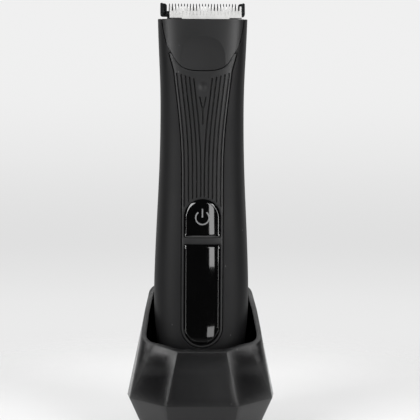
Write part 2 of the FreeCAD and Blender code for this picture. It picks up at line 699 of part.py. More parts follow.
def fixed_blade():
    """The comb that lies against the skin: a T-shaped plate with fine teeth and a raised guard at each end."""
    neck = box(-14.4, 14.4, 0, BLADE_THICK, -6.4, 2.2)
    tee = box(-BLADE_HALF, BLADE_HALF, 0, BLADE_THICK, 1.3, FIXED_TIP)
    guards = [box(min(s * 15.95, s * BLADE_HALF), max(s * 15.95, s * BLADE_HALF), -1.35, 0.1, 1.3, FIXED_TIP - 0.5)
              for s in (-1, 1)]
    blade = fuse([neck, tee] + guards)
    for s in (-1, 1):
        corner = Part.makeCylinder(1.9, 6, V(s * (BLADE_HALF - 1.9), -3, FIXED_TIP - 1.9), Y)
        square = box(min(s * (BLADE_HALF - 1.9), s * 20), max(s * (BLADE_HALF - 1.9), s * 20), -3, 3,
                     FIXED_TIP - 1.9, FIXED_TIP + 1)
        blade = blade.cut(square.cut(corner))
        low = Part.makeCylinder(1.6, 6, V(s * (BLADE_HALF - 1.6), -3, 1.3 + 1.6), Y)
        square = box(min(s * (BLADE_HALF - 1.6), s * 20), max(s * (BLADE_HALF - 1.6), s * 20), -3, 3, 0, 2.9)
        blade = blade.cut(square.cut(low))
    slots = []
    pitch, count = 1.22, 24
    for i in range(count):
        x = (i - (count - 1) / 2) * pitch
        shape = [V(x - 0.28, -2, 3.2), V(x + 0.28, -2, 3.2), V(x + 0.42, -2, FIXED_TIP + 0.1), V(x - 0.42, -2, FIXED_TIP + 0.1)]
        slots.append(Part.Face(Part.makePolygon(shape + shape[:1])).extrude(V(0, 4, 0)))
    blade = blade.cut(Part.makeCompound(slots))
    bevel = [V(-20, 0.35, FIXED_TIP + 0.02), V(-20, 1.2, FIXED_TIP + 0.02), V(-20, 1.2, FIXED_TIP - 2.6)]
    blade = blade.cut(Part.Face(Part.makePolygon(bevel + bevel[:1])).extrude(V(40, 0, 0)))
    for x in (-12.6, 12.6):
        blade = blade.cut(Part.makeCylinder(1.0, 4, V(x, -1, -3.8), Y))
    return lean(blade)


def blade_screws():
    screws = []
    for x in (-12.6, 12.6):
        head = Part.makeCylinder(1.7, 0.9, V(x, -0.95, -3.8), Y).cut(Part.makeCylinder(0.6, 0.5, V(x, -1.0, -3.8), Y))
        shank = Part.makeCylinder(0.78, 4.2, V(x, -0.1, -3.8), Y)
        screws.append(lean(head.fuse(shank)))
    return Part.makeCompound(screws)


def ceramic_cutter():
    """The white blade that slides across the comb."""
    plate = box(-CUTTER_HALF, CUTTER_HALF, -1.05, -0.05, 0.2, CUTTER_TIP)
    shank = box(-9.6, 9.6, -1.05, -0.05, -5.4, 0.4)
    cutter = plate.fuse(shank)
    pitch, count = 1.41, 20
    slots = []
    for i in range(count):
        x = (i - (count - 1) / 2) * pitch
        shape = [V(x - 0.24, -2, 3.3), V(x + 0.24, -2, 3.3), V(x + 0.4, -2, CUTTER_TIP + 0.1), V(x - 0.4, -2, CUTTER_TIP + 0.1)]
        slots.append(Part.Face(Part.makePolygon(shape + shape[:1])).extrude(V(0, 3, 0)))
        slots.append(box(x - 0.22, x + 0.22, -2, -0.88, 1.3, 3.4))
    cutter = cutter.cut(Part.makeCompound(slots))
    bevel = [V(-20, -1.2, 5.32), V(-20, -0.6, 5.32), V(-20, -1.2, 3.9)]
    cutter = cutter.cut(Part.Face(Part.makePolygon(bevel + bevel[:1])).extrude(V(40, 0, 0)))
    for x in (-6.5, 6.5):
        cutter = cutter.cut(Part.makeCylinder(0.8, 3, V(x, -2, CARRIER_PIN_Z), Y))
    cutter.translate(V(CUTTER_REST, 0, 0))
    return lean(cutter)


def cutter_carrier():
    """The plastic drive block: it holds the cutter and is pushed to and fro by the eccentric's pin."""
    bar = box(-8.6, 8.6, -2.7, -1.1, -6.2, -3.35)
    for x in (-6.5, 6.5):
        bar = bar.cut(Part.makeCylinder(0.8, 4, V(x, -3.5, CARRIER_PIN_Z), Y))
    bar = lean(bar)
    web = box(-4.0, 4.0, -6.3, -4.2, 163.6, 167.9)
    web = web.common(lean(box(-10, 10, -20, -1.12, -20, 0)))
    block = box(-5.2, 5.2, -6.3, 2.9, 157.9, 164.5)
    carrier = fuse([bar, web, block])
    carrier.translate(V(CUTTER_REST, 0, 0))
    slot = box(CUTTER_REST - 1.36, CUTTER_REST + 1.36, MOTOR_Y - 2.7, MOTOR_Y + 2.7, 150, 165)
    return carrier.cut(slot)


def carrier_pins():
    pins = []
    for x in (-6.5, 6.5):
        pin = Part.makeCylinder(0.78, 2.6, V(x + CUTTER_REST, -2.75, CARRIER_PIN_Z), Y)
        pins.append(lean(pin))
    return Part.makeCompound(pins)


def blade_spring():
    """Two wire springs whose upright legs press the drive block, and so the cutter, towards the comb."""
    wire, coil, y, z = 0.35, 1.2, -7.92, 155.7
    springs = []
    for x0, leg_x in ((3.4, 3.6), (-5.0, -3.6)):
        helix = Part.makeHelix(0.8, 1.6, coil)
        helix.rotate(V(0, 0, 0), Y, 90)
        helix.translate(V(x0, y, z))
        edge = helix.Edges[0]
        first = edge.FirstParameter
        profile = Part.Wire(Part.makeCircle(wire, edge.valueAt(first), edge.tangentAt(first)))
        springs.append(Part.Wire(helix.Edges).makePipeShell([profile], True, True))
        springs.append(rod(wire, z, 161.5, leg_x, y + coil))
    return fuse(springs)


# ---------------------------------------------------------------- dock
def dock_wire(level, inset):
    """One closed outline of the dock: ten sides, with the four side corners rounded by an arc."""
    z, front, side, middle, rear_side, rear, radius = level
    radius = max(radius - inset, 0.25)

    def corner(point, flip):
        return (point[0] - 0.42 * inset, flip * (point[1] - inset))

    def flank(point, flip):
        return (point[0] - inset, flip * (point[1] - 0.45 * inset))

    a, b = corner(front, -1), flank(side, -1)
    c = (middle - inset, 0.0)
    d, e = flank(rear_side, 1), corner(rear, 1)
    right = [(a, 0), (b, radius), (c, 0), (d, radius), (e, 0)]
    loop = right + [((-x, y), r) for (x, y), r in reversed(right)]
    edges, ends = [], []
    count = len(loop)
    for i, ((x, y), r) in enumerate(loop):
        here = V(x, y, z)
        if not r:
            ends.append((here, here, None))
            continue
        before, after = loop[i - 1][0], loop[(i + 1) % count][0]
        u = (V(before[0], before[1], z) - here).normalize()
        w = (V(after[0], after[1], z) - here).normalize()
        half = math.acos(max(-1, min(1, u.dot(w)))) / 2
        reach = r / math.tan(half)
        middle_point = here + (u + w).normalize() * (r / math.sin(half) - r)
        ends.append((here + u * reach, here + w * reach, middle_point))
    for i, (start, finish, bend) in enumerate(ends):
        if bend is not None:
            edges.append(Part.Arc(start, bend, finish).toShape())
        following = ends[(i + 1) % count][0]
        edges.append(line(finish, following))
    return Part.Wire(edges)


def dock_form(inset):
    return Part.makeLoft([dock_wire(level, inset) for level in DOCK_LEVELS], True, True)


def rake_cut(drop):
    """Everything above the dock's raked rim, lowered by drop."""
    edge = [V(-60, y, z - drop) for y, z in RIM_PROFILE]
    up = [V(-60, edge[-1].y, 120), V(-60, edge[0].y, 120)]
    wire = Part.Wire([spline(edge), line(edge[-1], up[0]), line(up[0], up[1]), line(up[1], edge[0])])
    return Part.Face(wire).extrude(V(120, 0, 0))


def usb_slot(margin, y0, y1):
    """The rounded outline of the charging socket, lying along Y."""
    half_w, half_h, z = 4.5 + margin, 1.6 + margin, 13.4
    r = half_h - 0.05
    core = box(-half_w + r, half_w - r, y0, y1, z - half_h, z + half_h)
    ends = [cross_rod(half_h, y0, y1, s * (half_w - half_h), z) for s in (-1, 1)]
    return fuse([core] + ends)


def dock_shell():
    """The faceted outer shell, with the deck that closes it round the cup."""
    hollow = dock_form(DOCK_WALL)
    shell = dock_form(0).cut(rake_cut(0)).cut(hollow.fuse(dock_floor_extension()))
    deck = dock_form(DOCK_WALL - 0.3).common(slab(DECK_BOTTOM, DECK_TOP)).cut(form(-CUP_GAP - CUP_WALL - 0.12))
    return shell.fuse(deck).cut(usb_slot(0.35, 12, 40))


def dock_floor_extension():
    return Part.Face(dock_wire(DOCK_LEVELS[0], DOCK_WALL)).extrude(V(0, 0, -3))


def dock_cup():
    """The cup that holds the groomer's foot: a lip on the deck, and four bosses for the base screws."""
    cup = form(-CUP_GAP - CUP_WALL).common(slab(0, DECK_TOP + 0.9))
    lip = form(-CUP_GAP - CUP_WALL - 1.3).common(slab(DECK_TOP + 0.02, DECK_TOP + 0.9))
    bosses = [rod(2.3, 5.0, 27.0, x, y) for x, y in DOCK_BOSSES]
    pips = [rod(1.4, 22.6, GROOMER_BOTTOM - 0.04, x, y) for x in (-8, 8) for y in (-5, 5)]
    body = fuse([cup, lip] + bosses).cut(form(-CUP_GAP)).fuse(pips)
    body = body.cut(box(-7.3, 7.3, -3.3, 3.3, 15, 24.5))
    for x, y in DOCK_BOSSES:
        body = body.cut(rod(0.9, 4, 16, x, y))
    return body


def dock_base_plate():
    plate = dock_form(DOCK_WALL + 0.15).common(slab(2.1, 4.9))
    plate = plate.cut(dock_form(DOCK_WALL + 1.6).common(slab(4.1, 8)))
    posts = [rod(1.6, 3.5, 10.4, x, y) for x, y in BOARD_POSTS]
    pads = [rod(3.2, 3.5, 4.9, x, y) for x, y in DOCK_BOSSES]
    plate = fuse([plate] + posts + pads)
    for x, y in DOCK_BOSSES:
        plate = plate.cut(rod(1.2, 0, 8, x, y)).cut(rod(2.2, 0, 3.4, x, y))
    for x, y in BOARD_POSTS:
        plate = plate.cut(rod(0.6, 6.5, 12, x, y))
    return plate


def dock_screws():
    screws = []
    for x, y in DOCK_BOSSES:
        head = rod(2.0, 2.3, 3.4, x, y).cut(rod(0.8, 2.0, 2.9, x, y))
        screws.append(head.fuse(rod(0.88, 3.4, 12.5, x, y)))
    for x, y in BOARD_POSTS:
        screws.append(rod(0.58, 7.0, 11.7, x, y).fuse(rod(1.2, 11.7, 12.5, x, y)))
    return Part.makeCompound(screws)


def anti_slip_pad():
    wire = dock_wire(DOCK_LEVELS[0], DOCK_WALL + 0.9)
    pad = Part.Face(wire).extrude(V(0, 0, 2.05))
    pad.translate(V(0, 0, -DOCK_FOOT_Z))
    return pad


def dock_ballast():
    block = box(-11.8, 11.8, -14.5, 14.5, 4.1, 8.9)
    corners = [e for e in block.Edges if abs(e.tangentAt(e.FirstParameter).z) > 0.9]
    block = block.makeFillet(3.0, corners)
    for x, y in BOARD_POSTS:
        block = block.cut(rod(2.2, 4, 10, x, y))
    return block


def dock_board():
    board = box(-11.6, 11.6, -8.5, 19.0, 10.45, 11.65)
    for x, y in BOARD_POSTS:
        board = board.cut(rod(0.65, 10, 13, x, y))
    return board


def dock_board_parts():
    parts = [box(7.4, 10.8, -2.6, 1.4, 11.65, 12.6), box(-9.8, -7.2, -4.6, -0.2, 11.65, 12.4)]
    for i in range(4):
        parts.append(box(-3.6 + 2 * i, -2.6 + 2 * i, 6.2, 7.8, 11.65, 12.2))
    return Part.makeCompound(parts)


def dock_usb_socket():
    can = usb_slot(0, 12.5, 21.6)
    mouth = usb_slot(-0.35, 14.5, 30)
    tongue = box(-3.3, 3.3, 13.5, 20.4, 13.05, 13.75)
    return can.cut(mouth).fuse(tongue)


def contact_block():
    block = box(-7.0, 7.0, -3.0, 3.0, 11.7, 22.9)
    for x in (-CONTACT_X, CONTACT_X):
        block = block.cut(rod(1.32, 12.9, 30, x, 0))
    return block


def contact_sleeves():
    sleeves = []
    for x in (-CONTACT_X, CONTACT_X):
        tube = rod(1.3, 12.95, 22.95, x, 0).cut(rod(1.0, 13.3, 22.5, x, 0)).cut(rod(0.66, 20, 24, x, 0))
        sleeves.append(tube)
    return Part.makeCompound(sleeves)


def contact_pins():
    pins = []
    for x in (-CONTACT_X, CONTACT_X):
        tip = rod(0.58, 22.0, GROOMER_BOTTOM - 0.6, x, 0).fuse(Part.makeSphere(0.58, V(x, 0, GROOMER_BOTTOM - 0.63)))
        pins.append(rod(0.94, 18.6, 22.35, x, 0).fuse(tip))
    return Part.makeCompound(pins)


def contact_springs():
    """Two coil springs of square wire, one under each contact pin."""
    wire, coil, low = 0.13, 0.72, 13.5
    springs = []
    for x in (-CONTACT_X, CONTACT_X):
        helix = Part.makeHelix(1.0, 4.8, coil)
        section = Part.makePolygon([
            V(coil - wire, 0, -wire), V(coil + wire, 0, -wire), V(coil + wire, 0, wire), V(coil - wire, 0, wire),
            V(coil - wire, 0, -wire)])
        spring = Part.Wire(helix.Edges).makePipeShell([section], True, True)
        spring.translate(V(x, 0, low))
        springs.append(spring)
    return Part.makeCompound(springs)


NODES = {
    "dock_shell": dock_shell,
    "dock_cup": dock_cup,
    "dock_base_plate": dock_base_plate,
    "anti_slip_pad": anti_slip_pad,
    "dock_ballast": dock_ballast,
    "dock_circuit_board": dock_board,
    "dock_board_components": dock_board_parts,
    "dock_usb_socket": dock_usb_socket,
    "dock_screws": dock_screws,
    "contact_block": contact_block,
    "contact_sleeves": contact_sleeves,
    "contact_pins": contact_pins,
    "contact_springs": contact_springs,
    "front_shell": front_shell,
    "rear_shell": rear_shell,
    "housing_screws": housing_screws,
    "front_panel": front_panel,
    "display_window": display_window,
    "power_button": power_button,
    "power_symbol": power_symbol,
    "button_seal": button_seal,
    "switch_base": switch_base,
    "switch_plunger": switch_plunger,
    "main_circuit_board": main_board,
    "board_components": board_parts,
    "indicator_leds": indicator_leds,
    "light_guide": light_guide,
    "battery_cell": battery_cell,
    "battery_tabs": battery_tabs,
    "battery_cradle": battery_cradle,
    "motor_can": motor_can,
    "motor_end_cap": motor_end_cap,
    "motor_terminals": motor_terminals,
    "motor_bushes": motor_bushes,
    "motor_magnets": motor_magnets,
    "motor_shaft": motor_shaft,
    "motor_armature": motor_armature,
    "commutator": commutator,
    "eccentric_cam": eccentric_cam,
    "drive_pin": drive_pin,
    "motor_bracket": motor_bracket,
    "motor_screws": motor_screws,
    "head_socket": head_socket,
    "shaft_seal": shaft_seal,
    "latch_clips": latch_clips,
    "end_cap": end_cap,
    "charge_pads": charge_pads,
    "end_cap_seal": end_cap_seal,
    "head_cover": head_cover,
    "head_base": head_base,
    "fixed_blade": fixed_blade,
    "blade_screws": blade_screws,
    "ceramic_cutter": ceramic_cutter,
    "cutter_carrier": cutter_carrier,
    "carrier_pins": carrier_pins,
    "blade_spring": blade_spring,
}

os.makedirs("parts", exist_ok=True)
for node, make in NODES.items():
    save(node, make())
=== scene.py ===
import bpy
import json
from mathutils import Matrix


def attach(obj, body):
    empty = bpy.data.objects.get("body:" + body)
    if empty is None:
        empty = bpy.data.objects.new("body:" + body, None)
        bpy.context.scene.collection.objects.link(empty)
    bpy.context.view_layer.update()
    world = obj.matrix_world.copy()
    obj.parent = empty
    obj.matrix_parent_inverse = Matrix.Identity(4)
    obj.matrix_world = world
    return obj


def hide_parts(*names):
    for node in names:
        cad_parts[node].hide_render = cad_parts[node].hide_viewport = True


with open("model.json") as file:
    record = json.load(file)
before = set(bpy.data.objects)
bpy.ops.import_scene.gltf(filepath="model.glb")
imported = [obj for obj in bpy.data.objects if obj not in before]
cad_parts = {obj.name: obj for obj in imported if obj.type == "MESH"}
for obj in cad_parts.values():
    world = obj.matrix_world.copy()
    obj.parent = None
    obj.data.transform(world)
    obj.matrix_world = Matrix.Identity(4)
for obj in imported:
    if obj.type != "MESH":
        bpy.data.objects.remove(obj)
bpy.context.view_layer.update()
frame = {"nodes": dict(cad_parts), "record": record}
print("frame loaded:", len(frame["nodes"]), "CAD pieces")

# %% [markdown]
# # A cordless body groomer in its charging dock
#
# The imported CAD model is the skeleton: it holds every piece, inside and out, at its true place.
# This lesson dresses that skeleton. The pieces that a person sees are rebuilt as fine meshes with
# rounded edges, and the pieces hidden inside keep their CAD shape and only get a material.
#
# All lengths below are in millimetres. Blender works in metres, so one helper multiplies by 0.001
# when it makes a mesh, and no other place has to think about units.

# %% Libraries and small constants
import json
import math

import bmesh
import bpy
import numpy as np
from mathutils import Euler, Vector
from mathutils.geometry import delaunay_2d_cdt

MM = 0.001
RECORD = frame["record"]
BODY_OF = {node: body for body, members in RECORD["behaviour"]["bodies"].items() for node in members}

# %% [markdown]
# ## The measures of the handle
#
# The handle has no straight cross-section: it is broad and round at the foot, slim in the grip, and
# squarer at the head. The table gives, for each height, the half width, the depth to the front, the
# depth to the back and how square the section is. The same rows drive the CAD model, so the skin
# made here lies on the CAD skin.

# %% The measures of the handle
HANDLE_ROWS = np.array([
    (24.0, 13.4, 10.4, 11.0, 2.4),
    (28.0, 15.8, 12.5, 13.2, 2.4),
    (34.0, 17.4, 13.9, 14.7, 2.5),
    (42.0, 18.5, 14.8, 15.6, 2.6),
    (54.0, 19.35, 15.2, 16.2, 2.7),
    (70.0, 19.2, 15.1, 16.2, 2.8),
    (88.0, 18.45, 14.6, 15.2, 2.8),
    (108.0, 17.5, 13.7, 13.6, 2.8),
    (128.0, 17.0, 13.0, 12.4, 2.9),
    (146.0, 17.15, 12.7, 11.8, 3.2),
    (159.0, 17.7, 12.5, 11.5, 3.6),
    (174.0, 18.2, 11.9, 11.3, 4.0),
])
SHELL_FOOT, SHELL_TOP = 32.84, 171.0
SPLIT_Y = 1.0
WALL = 2.4
PANEL_HALF, PANEL_GAP, PANEL_THICK = 8.57, 0.35, 1.35
OPENING_HALF = 7.45
WINDOW_ARC_Z, WINDOW_TOP = 46.95, 80.9
BUTTON_ARC_Z, BUTTON_FOOT = 91.65, 83.5
HORN_TOP = 157.5
HEAD_EDGE = [(14.55, 160.6), (12.95, 157.8), (11.45, 155.3), (9.3, 152.55), (5.5, 150.8), (0.0, 150.45)]


# %% [markdown]
# ## A smooth curve through given points
#
# Both the skin and the outlines run smoothly through a few known points. A natural cubic spline does
# that: it bends as little as a thin strip of wood held at those points. Blender has curve objects
# for this, but here a plain function is handier, because it can be asked for a value at any height.

# %% A smooth curve through given points
def smooth_curve(at, values):
    """Returns a function that runs smoothly through the given values."""
    knots, heights = np.array(at, float), np.array(values, float)
    steps, count = np.diff(knots), len(knots)
    matrix, right = np.eye(count), np.zeros(count)
    for i in range(1, count - 1):
        matrix[i, i - 1:i + 2] = steps[i - 1], 2 * (steps[i - 1] + steps[i]), steps[i]
        right[i] = 6 * ((heights[i + 1] - heights[i]) / steps[i]
                        - (heights[i] - heights[i - 1]) / steps[i - 1])
    bend = np.linalg.solve(matrix, right)

    def value(x):
        x = np.asarray(x, float)
        i = np.clip(np.searchsorted(knots, x) - 1, 0, count - 2)
        before, after, step = knots[i + 1] - x, x - knots[i], steps[i]
        cubic = (bend[i] * before ** 3 + bend[i + 1] * after ** 3) / (6 * step)
        return (cubic + (heights[i] / step - bend[i] * step / 6) * before
                + (heights[i + 1] / step - bend[i + 1] * step / 6) * after)
    return value


half_at, front_at, back_at, square_at = (smooth_curve(HANDLE_ROWS[:, 0],
                                                      HANDLE_ROWS[:, k]) for k in range(1, 5))
grip_edge = smooth_curve([106.0, 118.5, 129.5, 140.5, 150.6], [8.57, 8.8, 9.55, 10.75, 11.95])
wing_edge = smooth_curve([150.6, 156.0, 162.5, 165.5, 174.0], [11.95, 13.5, 15.0, 15.7, 16.85])


def panel_edge(z):
    """Half width of the front panel's bed at a height."""
    z = np.asarray(z, float)
    return np.where(z < 106, PANEL_HALF, np.where(z < 150.6, grip_edge(np.clip(z, 106, 150.6)), wing_edge(z)))


def skin_front(x, z, inset=0.0):
    """Depth (y) of the handle's front skin over a point, pushed in by inset."""
    square = square_at(z)
    left = np.clip(1 - (np.abs(x) / (half_at(z) - inset)) ** square, 1e-6, 1)
    return -(front_at(z) - inset) * left ** (1 / square)


print("handle: widest %.1f mm, slimmest %.1f mm" % (2 * half_at(54.0), 2 * half_at(128.0)))


# %% [markdown]
# ## Meshes in millimetres, and cutting one with another
#
# A real shell is moulded hollow and its openings are cut-outs. The straight way to copy that is to
# make the full form and subtract tools from it, with the Boolean modifier and its Manifold solver,
# which is quick on dense closed meshes. Each cut is applied at once, so that no modifier is left.

# %% Meshes in millimetres, and cutting one with another
def mesh_object(name, points, faces):
    """A new object at the origin from points in millimetres."""
    data = bpy.data.meshes.new(name)
    data.from_pydata([tuple(np.asarray(p, float) * MM) for p in points], [], faces)
    piece = bpy.data.objects.new(name, data)
    bpy.context.collection.objects.link(piece)
    rework = bmesh.new()
    rework.from_mesh(data)
    bmesh.ops.recalc_face_normals(rework, faces=rework.faces)
    rework.to_mesh(data)
    rework.free()
    return piece


def remove(piece):
    data = piece.data
    bpy.data.objects.remove(piece)
    bpy.data.meshes.remove(data)


def apply_modifiers(piece):
    """Turns a piece with live modifiers into a plain mesh."""
    bpy.context.view_layer.update()
    done = bpy.data.meshes.new_from_object(piece.evaluated_get(bpy.context.evaluated_depsgraph_get()))
    old = piece.data
    piece.modifiers.clear()
    piece.data = done
    bpy.data.meshes.remove(old)
    return piece


def carve(piece, tools, how="DIFFERENCE"):
    """Cuts, joins or intersects a piece with each tool in turn; the tools are used up."""
    for tool in tools:
        step = piece.modifiers.new("cut", "BOOLEAN")
        step.operation, step.object, step.solver = how, tool, "MANIFOLD"
        apply_modifiers(piece)
        remove(tool)
    return piece


def join(pieces):
    """Puts several pieces into the first one."""
    rework = bmesh.new()
    for piece in pieces:
        rework.from_mesh(piece.data)
    rework.to_mesh(pieces[0].data)
    rework.free()
    for piece in pieces[1:]:
        remove(piece)
    return pieces[0]


def smooth(piece, degrees):
    """Smooth shading, with the edges sharper than the given angle kept crisp."""
    for face in piece.data.polygons:
        face.use_smooth = True
    piece.data.set_sharp_from_angle(angle=math.radians(degrees))
    return piece


def ring_faces(rows, count, start=0):
    """Quads between equal rings of points that are listed one ring after another."""
    return [(start + r * count + i, start + r * count + (i + 1) % count,
             start + (r + 1) * count + (i + 1) % count, start + (r + 1) * count + i)
            for r in range(rows - 1) for i in range(count)]


def end_faces(rows, count):
    """The flat faces that close the first and the last ring."""
    return [tuple(range(count)), tuple(range((rows - 1) * count, rows * count))]


def block(x0, x1, y0, y1, z0, z1, name="tool"):
    corners = [(x, y, z) for x in (x0, x1) for y in (y0, y1) for z in (z0, z1)]
    faces = [(0, 1, 3, 2), (4, 6, 7, 5), (0, 4, 5, 1), (2, 3, 7, 6), (0, 2, 6, 4), (1, 5, 7, 3)]
    return mesh_object(name, corners, faces)


def prism(outline, near=-40.0, far=40.0, name="tool"):
    """A closed bar with the given outline (x, z), running through the depth."""
    count = len(outline)
    points = [(x, near, z) for x, z in outline] + [(x, far, z) for x, z in outline]
    sides = [(i, (i + 1) % count, (i + 1) % count + count, i + count) for i in range(count)]
    return mesh_object(name, points,
                       sides + [tuple(range(count)), tuple(range(2 * count - 1, count - 1, -1))])


def handle_form(inset, low, high, around=216, step=0.7, name="tool"):
    """The closed solid inside the handle's skin, shrunk by inset."""
    levels = np.linspace(low, high, max(2, int((high - low) / step)))
    turns = 2 * np.pi * np.arange(around) / around
    c, s = np.cos(turns), np.sin(turns)
    points = []
    for z in levels:
        deep = np.where(s > 0, back_at(z), front_at(z)) - inset
        square = square_at(z)
        reach = (np.abs(c / (half_at(z) - inset)) ** square + np.abs(s / deep) ** square) ** (-1 / square)
        points += [(a, b, z) for a, b in zip(c * reach, s * reach)]
    return mesh_object(name, points, ring_faces(len(levels), around) + end_faces(len(levels), around))


# %% [markdown]
# ## Outlines seen from the front
#
# The panel, the head, the button and the window all have an outline that is drawn in the front view
# and then laid on the curved skin. An outline is a plain list of (x, z) points that runs round the
# piece against the clock. `shrink` moves an outline inwards, which is how gaps and rounded rims are
# made from one drawing.

# %% Outlines seen from the front
def mirrored(right):
    """Completes a right-hand side, given from the bottom up, with its mirror image."""
    return right + [(-x, z) for x, z in reversed(right) if abs(x) > 1e-6]


def arc(cx, cz, radius, start, end, count):
    angles = np.radians(np.linspace(start, end, count))
    return [(cx + radius * math.cos(a), cz + radius * math.sin(a)) for a in angles]


def head_curve(inset=0.0):
    """The head's lower edge from the centre line to the wing, drawn finely."""
    rows = list(reversed(HEAD_EDGE))
    both = [(-x, z) for x, z in reversed(rows[1:])] + rows
    along = np.concatenate([[0], np.cumsum([math.dist(a, b) for a, b in zip(both, both[1:])])])
    shifted = []
    for x, z in both:
        share = (5 - [h for _, h in rows].index(z)) / 5 if z != 150.45 else 1.0
        shifted.append((x - math.copysign(inset * math.cos(share * math.pi / 2), x) if x else 0.0,
                        z + inset * math.sin(share * math.pi / 2)))
    x_of, z_of = smooth_curve(along, [p[0] for p in shifted]), smooth_curve(along, [p[1] for p in shifted])
    runs = np.linspace(along[len(rows) - 1], along[-1], 64)
    return [(float(x), float(z)) for x, z in zip(x_of(runs), z_of(runs))]


def head_outline(inset):
    wing = smooth_curve([160.6, 162.5, 165.5, 174.0], [14.55, 15.0, 15.7, 16.85])
    low = head_curve(inset)
    up = [(float(wing(z)) - inset, float(z)) for z in np.linspace(low[-1][1] + 0.6, 176.0, 30)]
    return mirrored(low + up)


def bed_outline(inset, top=HORN_TOP + 0.1):
    """The front panel's bed: round below, straight beside the window, widening to the head."""
    arc_part = arc(0, WINDOW_ARC_Z, PANEL_HALF - inset, -90, 0, 24)
    side = [(float(panel_edge(z)) - inset, float(z)) for z in np.arange(WINDOW_ARC_Z + 0.8, top, 0.8)]
    return mirrored(arc_part + side + [(float(panel_edge(top)) - inset, top)])


def button_outline(inset, corner=0.7):
    half, foot = OPENING_HALF - inset, BUTTON_FOOT + inset
    right = [(0.0, foot), (half / 2, foot)] + arc(half - corner, foot + corner, corner, -90, 0, 8)
    right += [(half, z) for z in np.linspace(foot + corner + 0.8, BUTTON_ARC_Z - 0.6, 8)]
    return mirrored(right + arc(0, BUTTON_ARC_Z, half, 0, 90, 26))


def window_outline(inset, corner=0.7):
    half, top = OPENING_HALF - inset, WINDOW_TOP - inset
    right = arc(0, WINDOW_ARC_Z, half, -90, 0,
                26) + [(half, z) for z in np.arange(48.0, top - corner - 0.5, 1.0)]
    return mirrored(right + arc(half - corner, top - corner, corner, 0, 90, 8) + [(half / 2, top),
                                                                                  (0.0, top)])


def shrink(outline, amount):
    """Moves each point of an outline inwards, at right angles to its neighbours."""
    loop = np.array(outline)
    ahead, behind = np.roll(loop, -1, 0) - loop, loop - np.roll(loop, 1, 0)
    ahead /= np.maximum(np.linalg.norm(ahead, axis=1, keepdims=True), 1e-9)
    behind /= np.maximum(np.linalg.norm(behind, axis=1, keepdims=True), 1e-9)
    tangent = ahead + behind
    tangent /= np.linalg.norm(tangent, axis=1, keepdims=True)
    inward = np.stack([-tangent[:, 1], tangent[:, 0]], 1)
    lean = np.clip(np.abs(np.sum(tangent * ahead, 1)), 0.6, 1)
    return loop + inward * (amount / lean)[:, None]


def inside(points, outline):
    """Which points lie within an outline (even-odd rule)."""
    x, z = points[:, 0], points[:, 1]
    loop = np.array(outline)
    hit = np.zeros(len(points), bool)
    for (x0, z0), (x1, z1) in zip(loop, np.roll(loop, -1, 0)):
        if z0 == z1:
            continue
        crosses = (z0 > z) != (z1 > z)
        hit ^= crosses & (x < (x1 - x0) * (z - z0) / (z1 - z0) + x0)
    return hit


# %% [markdown]
# ## A cover laid on the skin
#
# The panel, button and window are thin covers that follow the handle's skin. A cover is made from
# its outline: rings of points just inside the rim step down in a quarter circle, which is the soft
# edge a moulded part has, and a triangulation fills the inside. Constrained Delaunay triangulation
# keeps every ring, hole and groove edge as a real mesh edge, which a Boolean would not do as cleanly.

# %% A cover laid on the skin
def fill(loops, points, keep):
    """Triangles between the given closed loops and loose points; keep(centres) says which stay."""
    flat, edges = [], []
    for loop in loops:
        start = len(flat)
        flat += [Vector((float(x), float(z))) for x, z in loop]
        edges += [(start + i, start + (i + 1) % len(loop)) for i in range(len(loop))]
    flat += [Vector((float(x), float(z))) for x, z in points]
    verts, _, faces, origin, _, _ = delaunay_2d_cdt(flat, edges, [], 0, 1e-5)
    spots = np.array([(v.x, v.y) for v in verts])
    centres = np.array([spots[list(f)].mean(0) for f in faces])
    chosen = [f for f, ok in zip(faces, keep(centres)) if ok]
    return spots, chosen, [o[0] if o else -1 for o in origin]


def mesh_grid(outline, step):
    """Evenly spread points over the box of an outline, every second row shifted by half a step."""
    loop = np.array(outline)
    (x0, z0), (x1, z1) = loop.min(0), loop.max(0)
    rows = []
    for k, z in enumerate(np.arange(z0, z1, step * 0.87)):
        xs = np.arange(x0 + (k % 2) * step / 2, x1, step)
        rows.append(np.stack([xs, np.full_like(xs, z)], 1))
    return np.concatenate(rows)


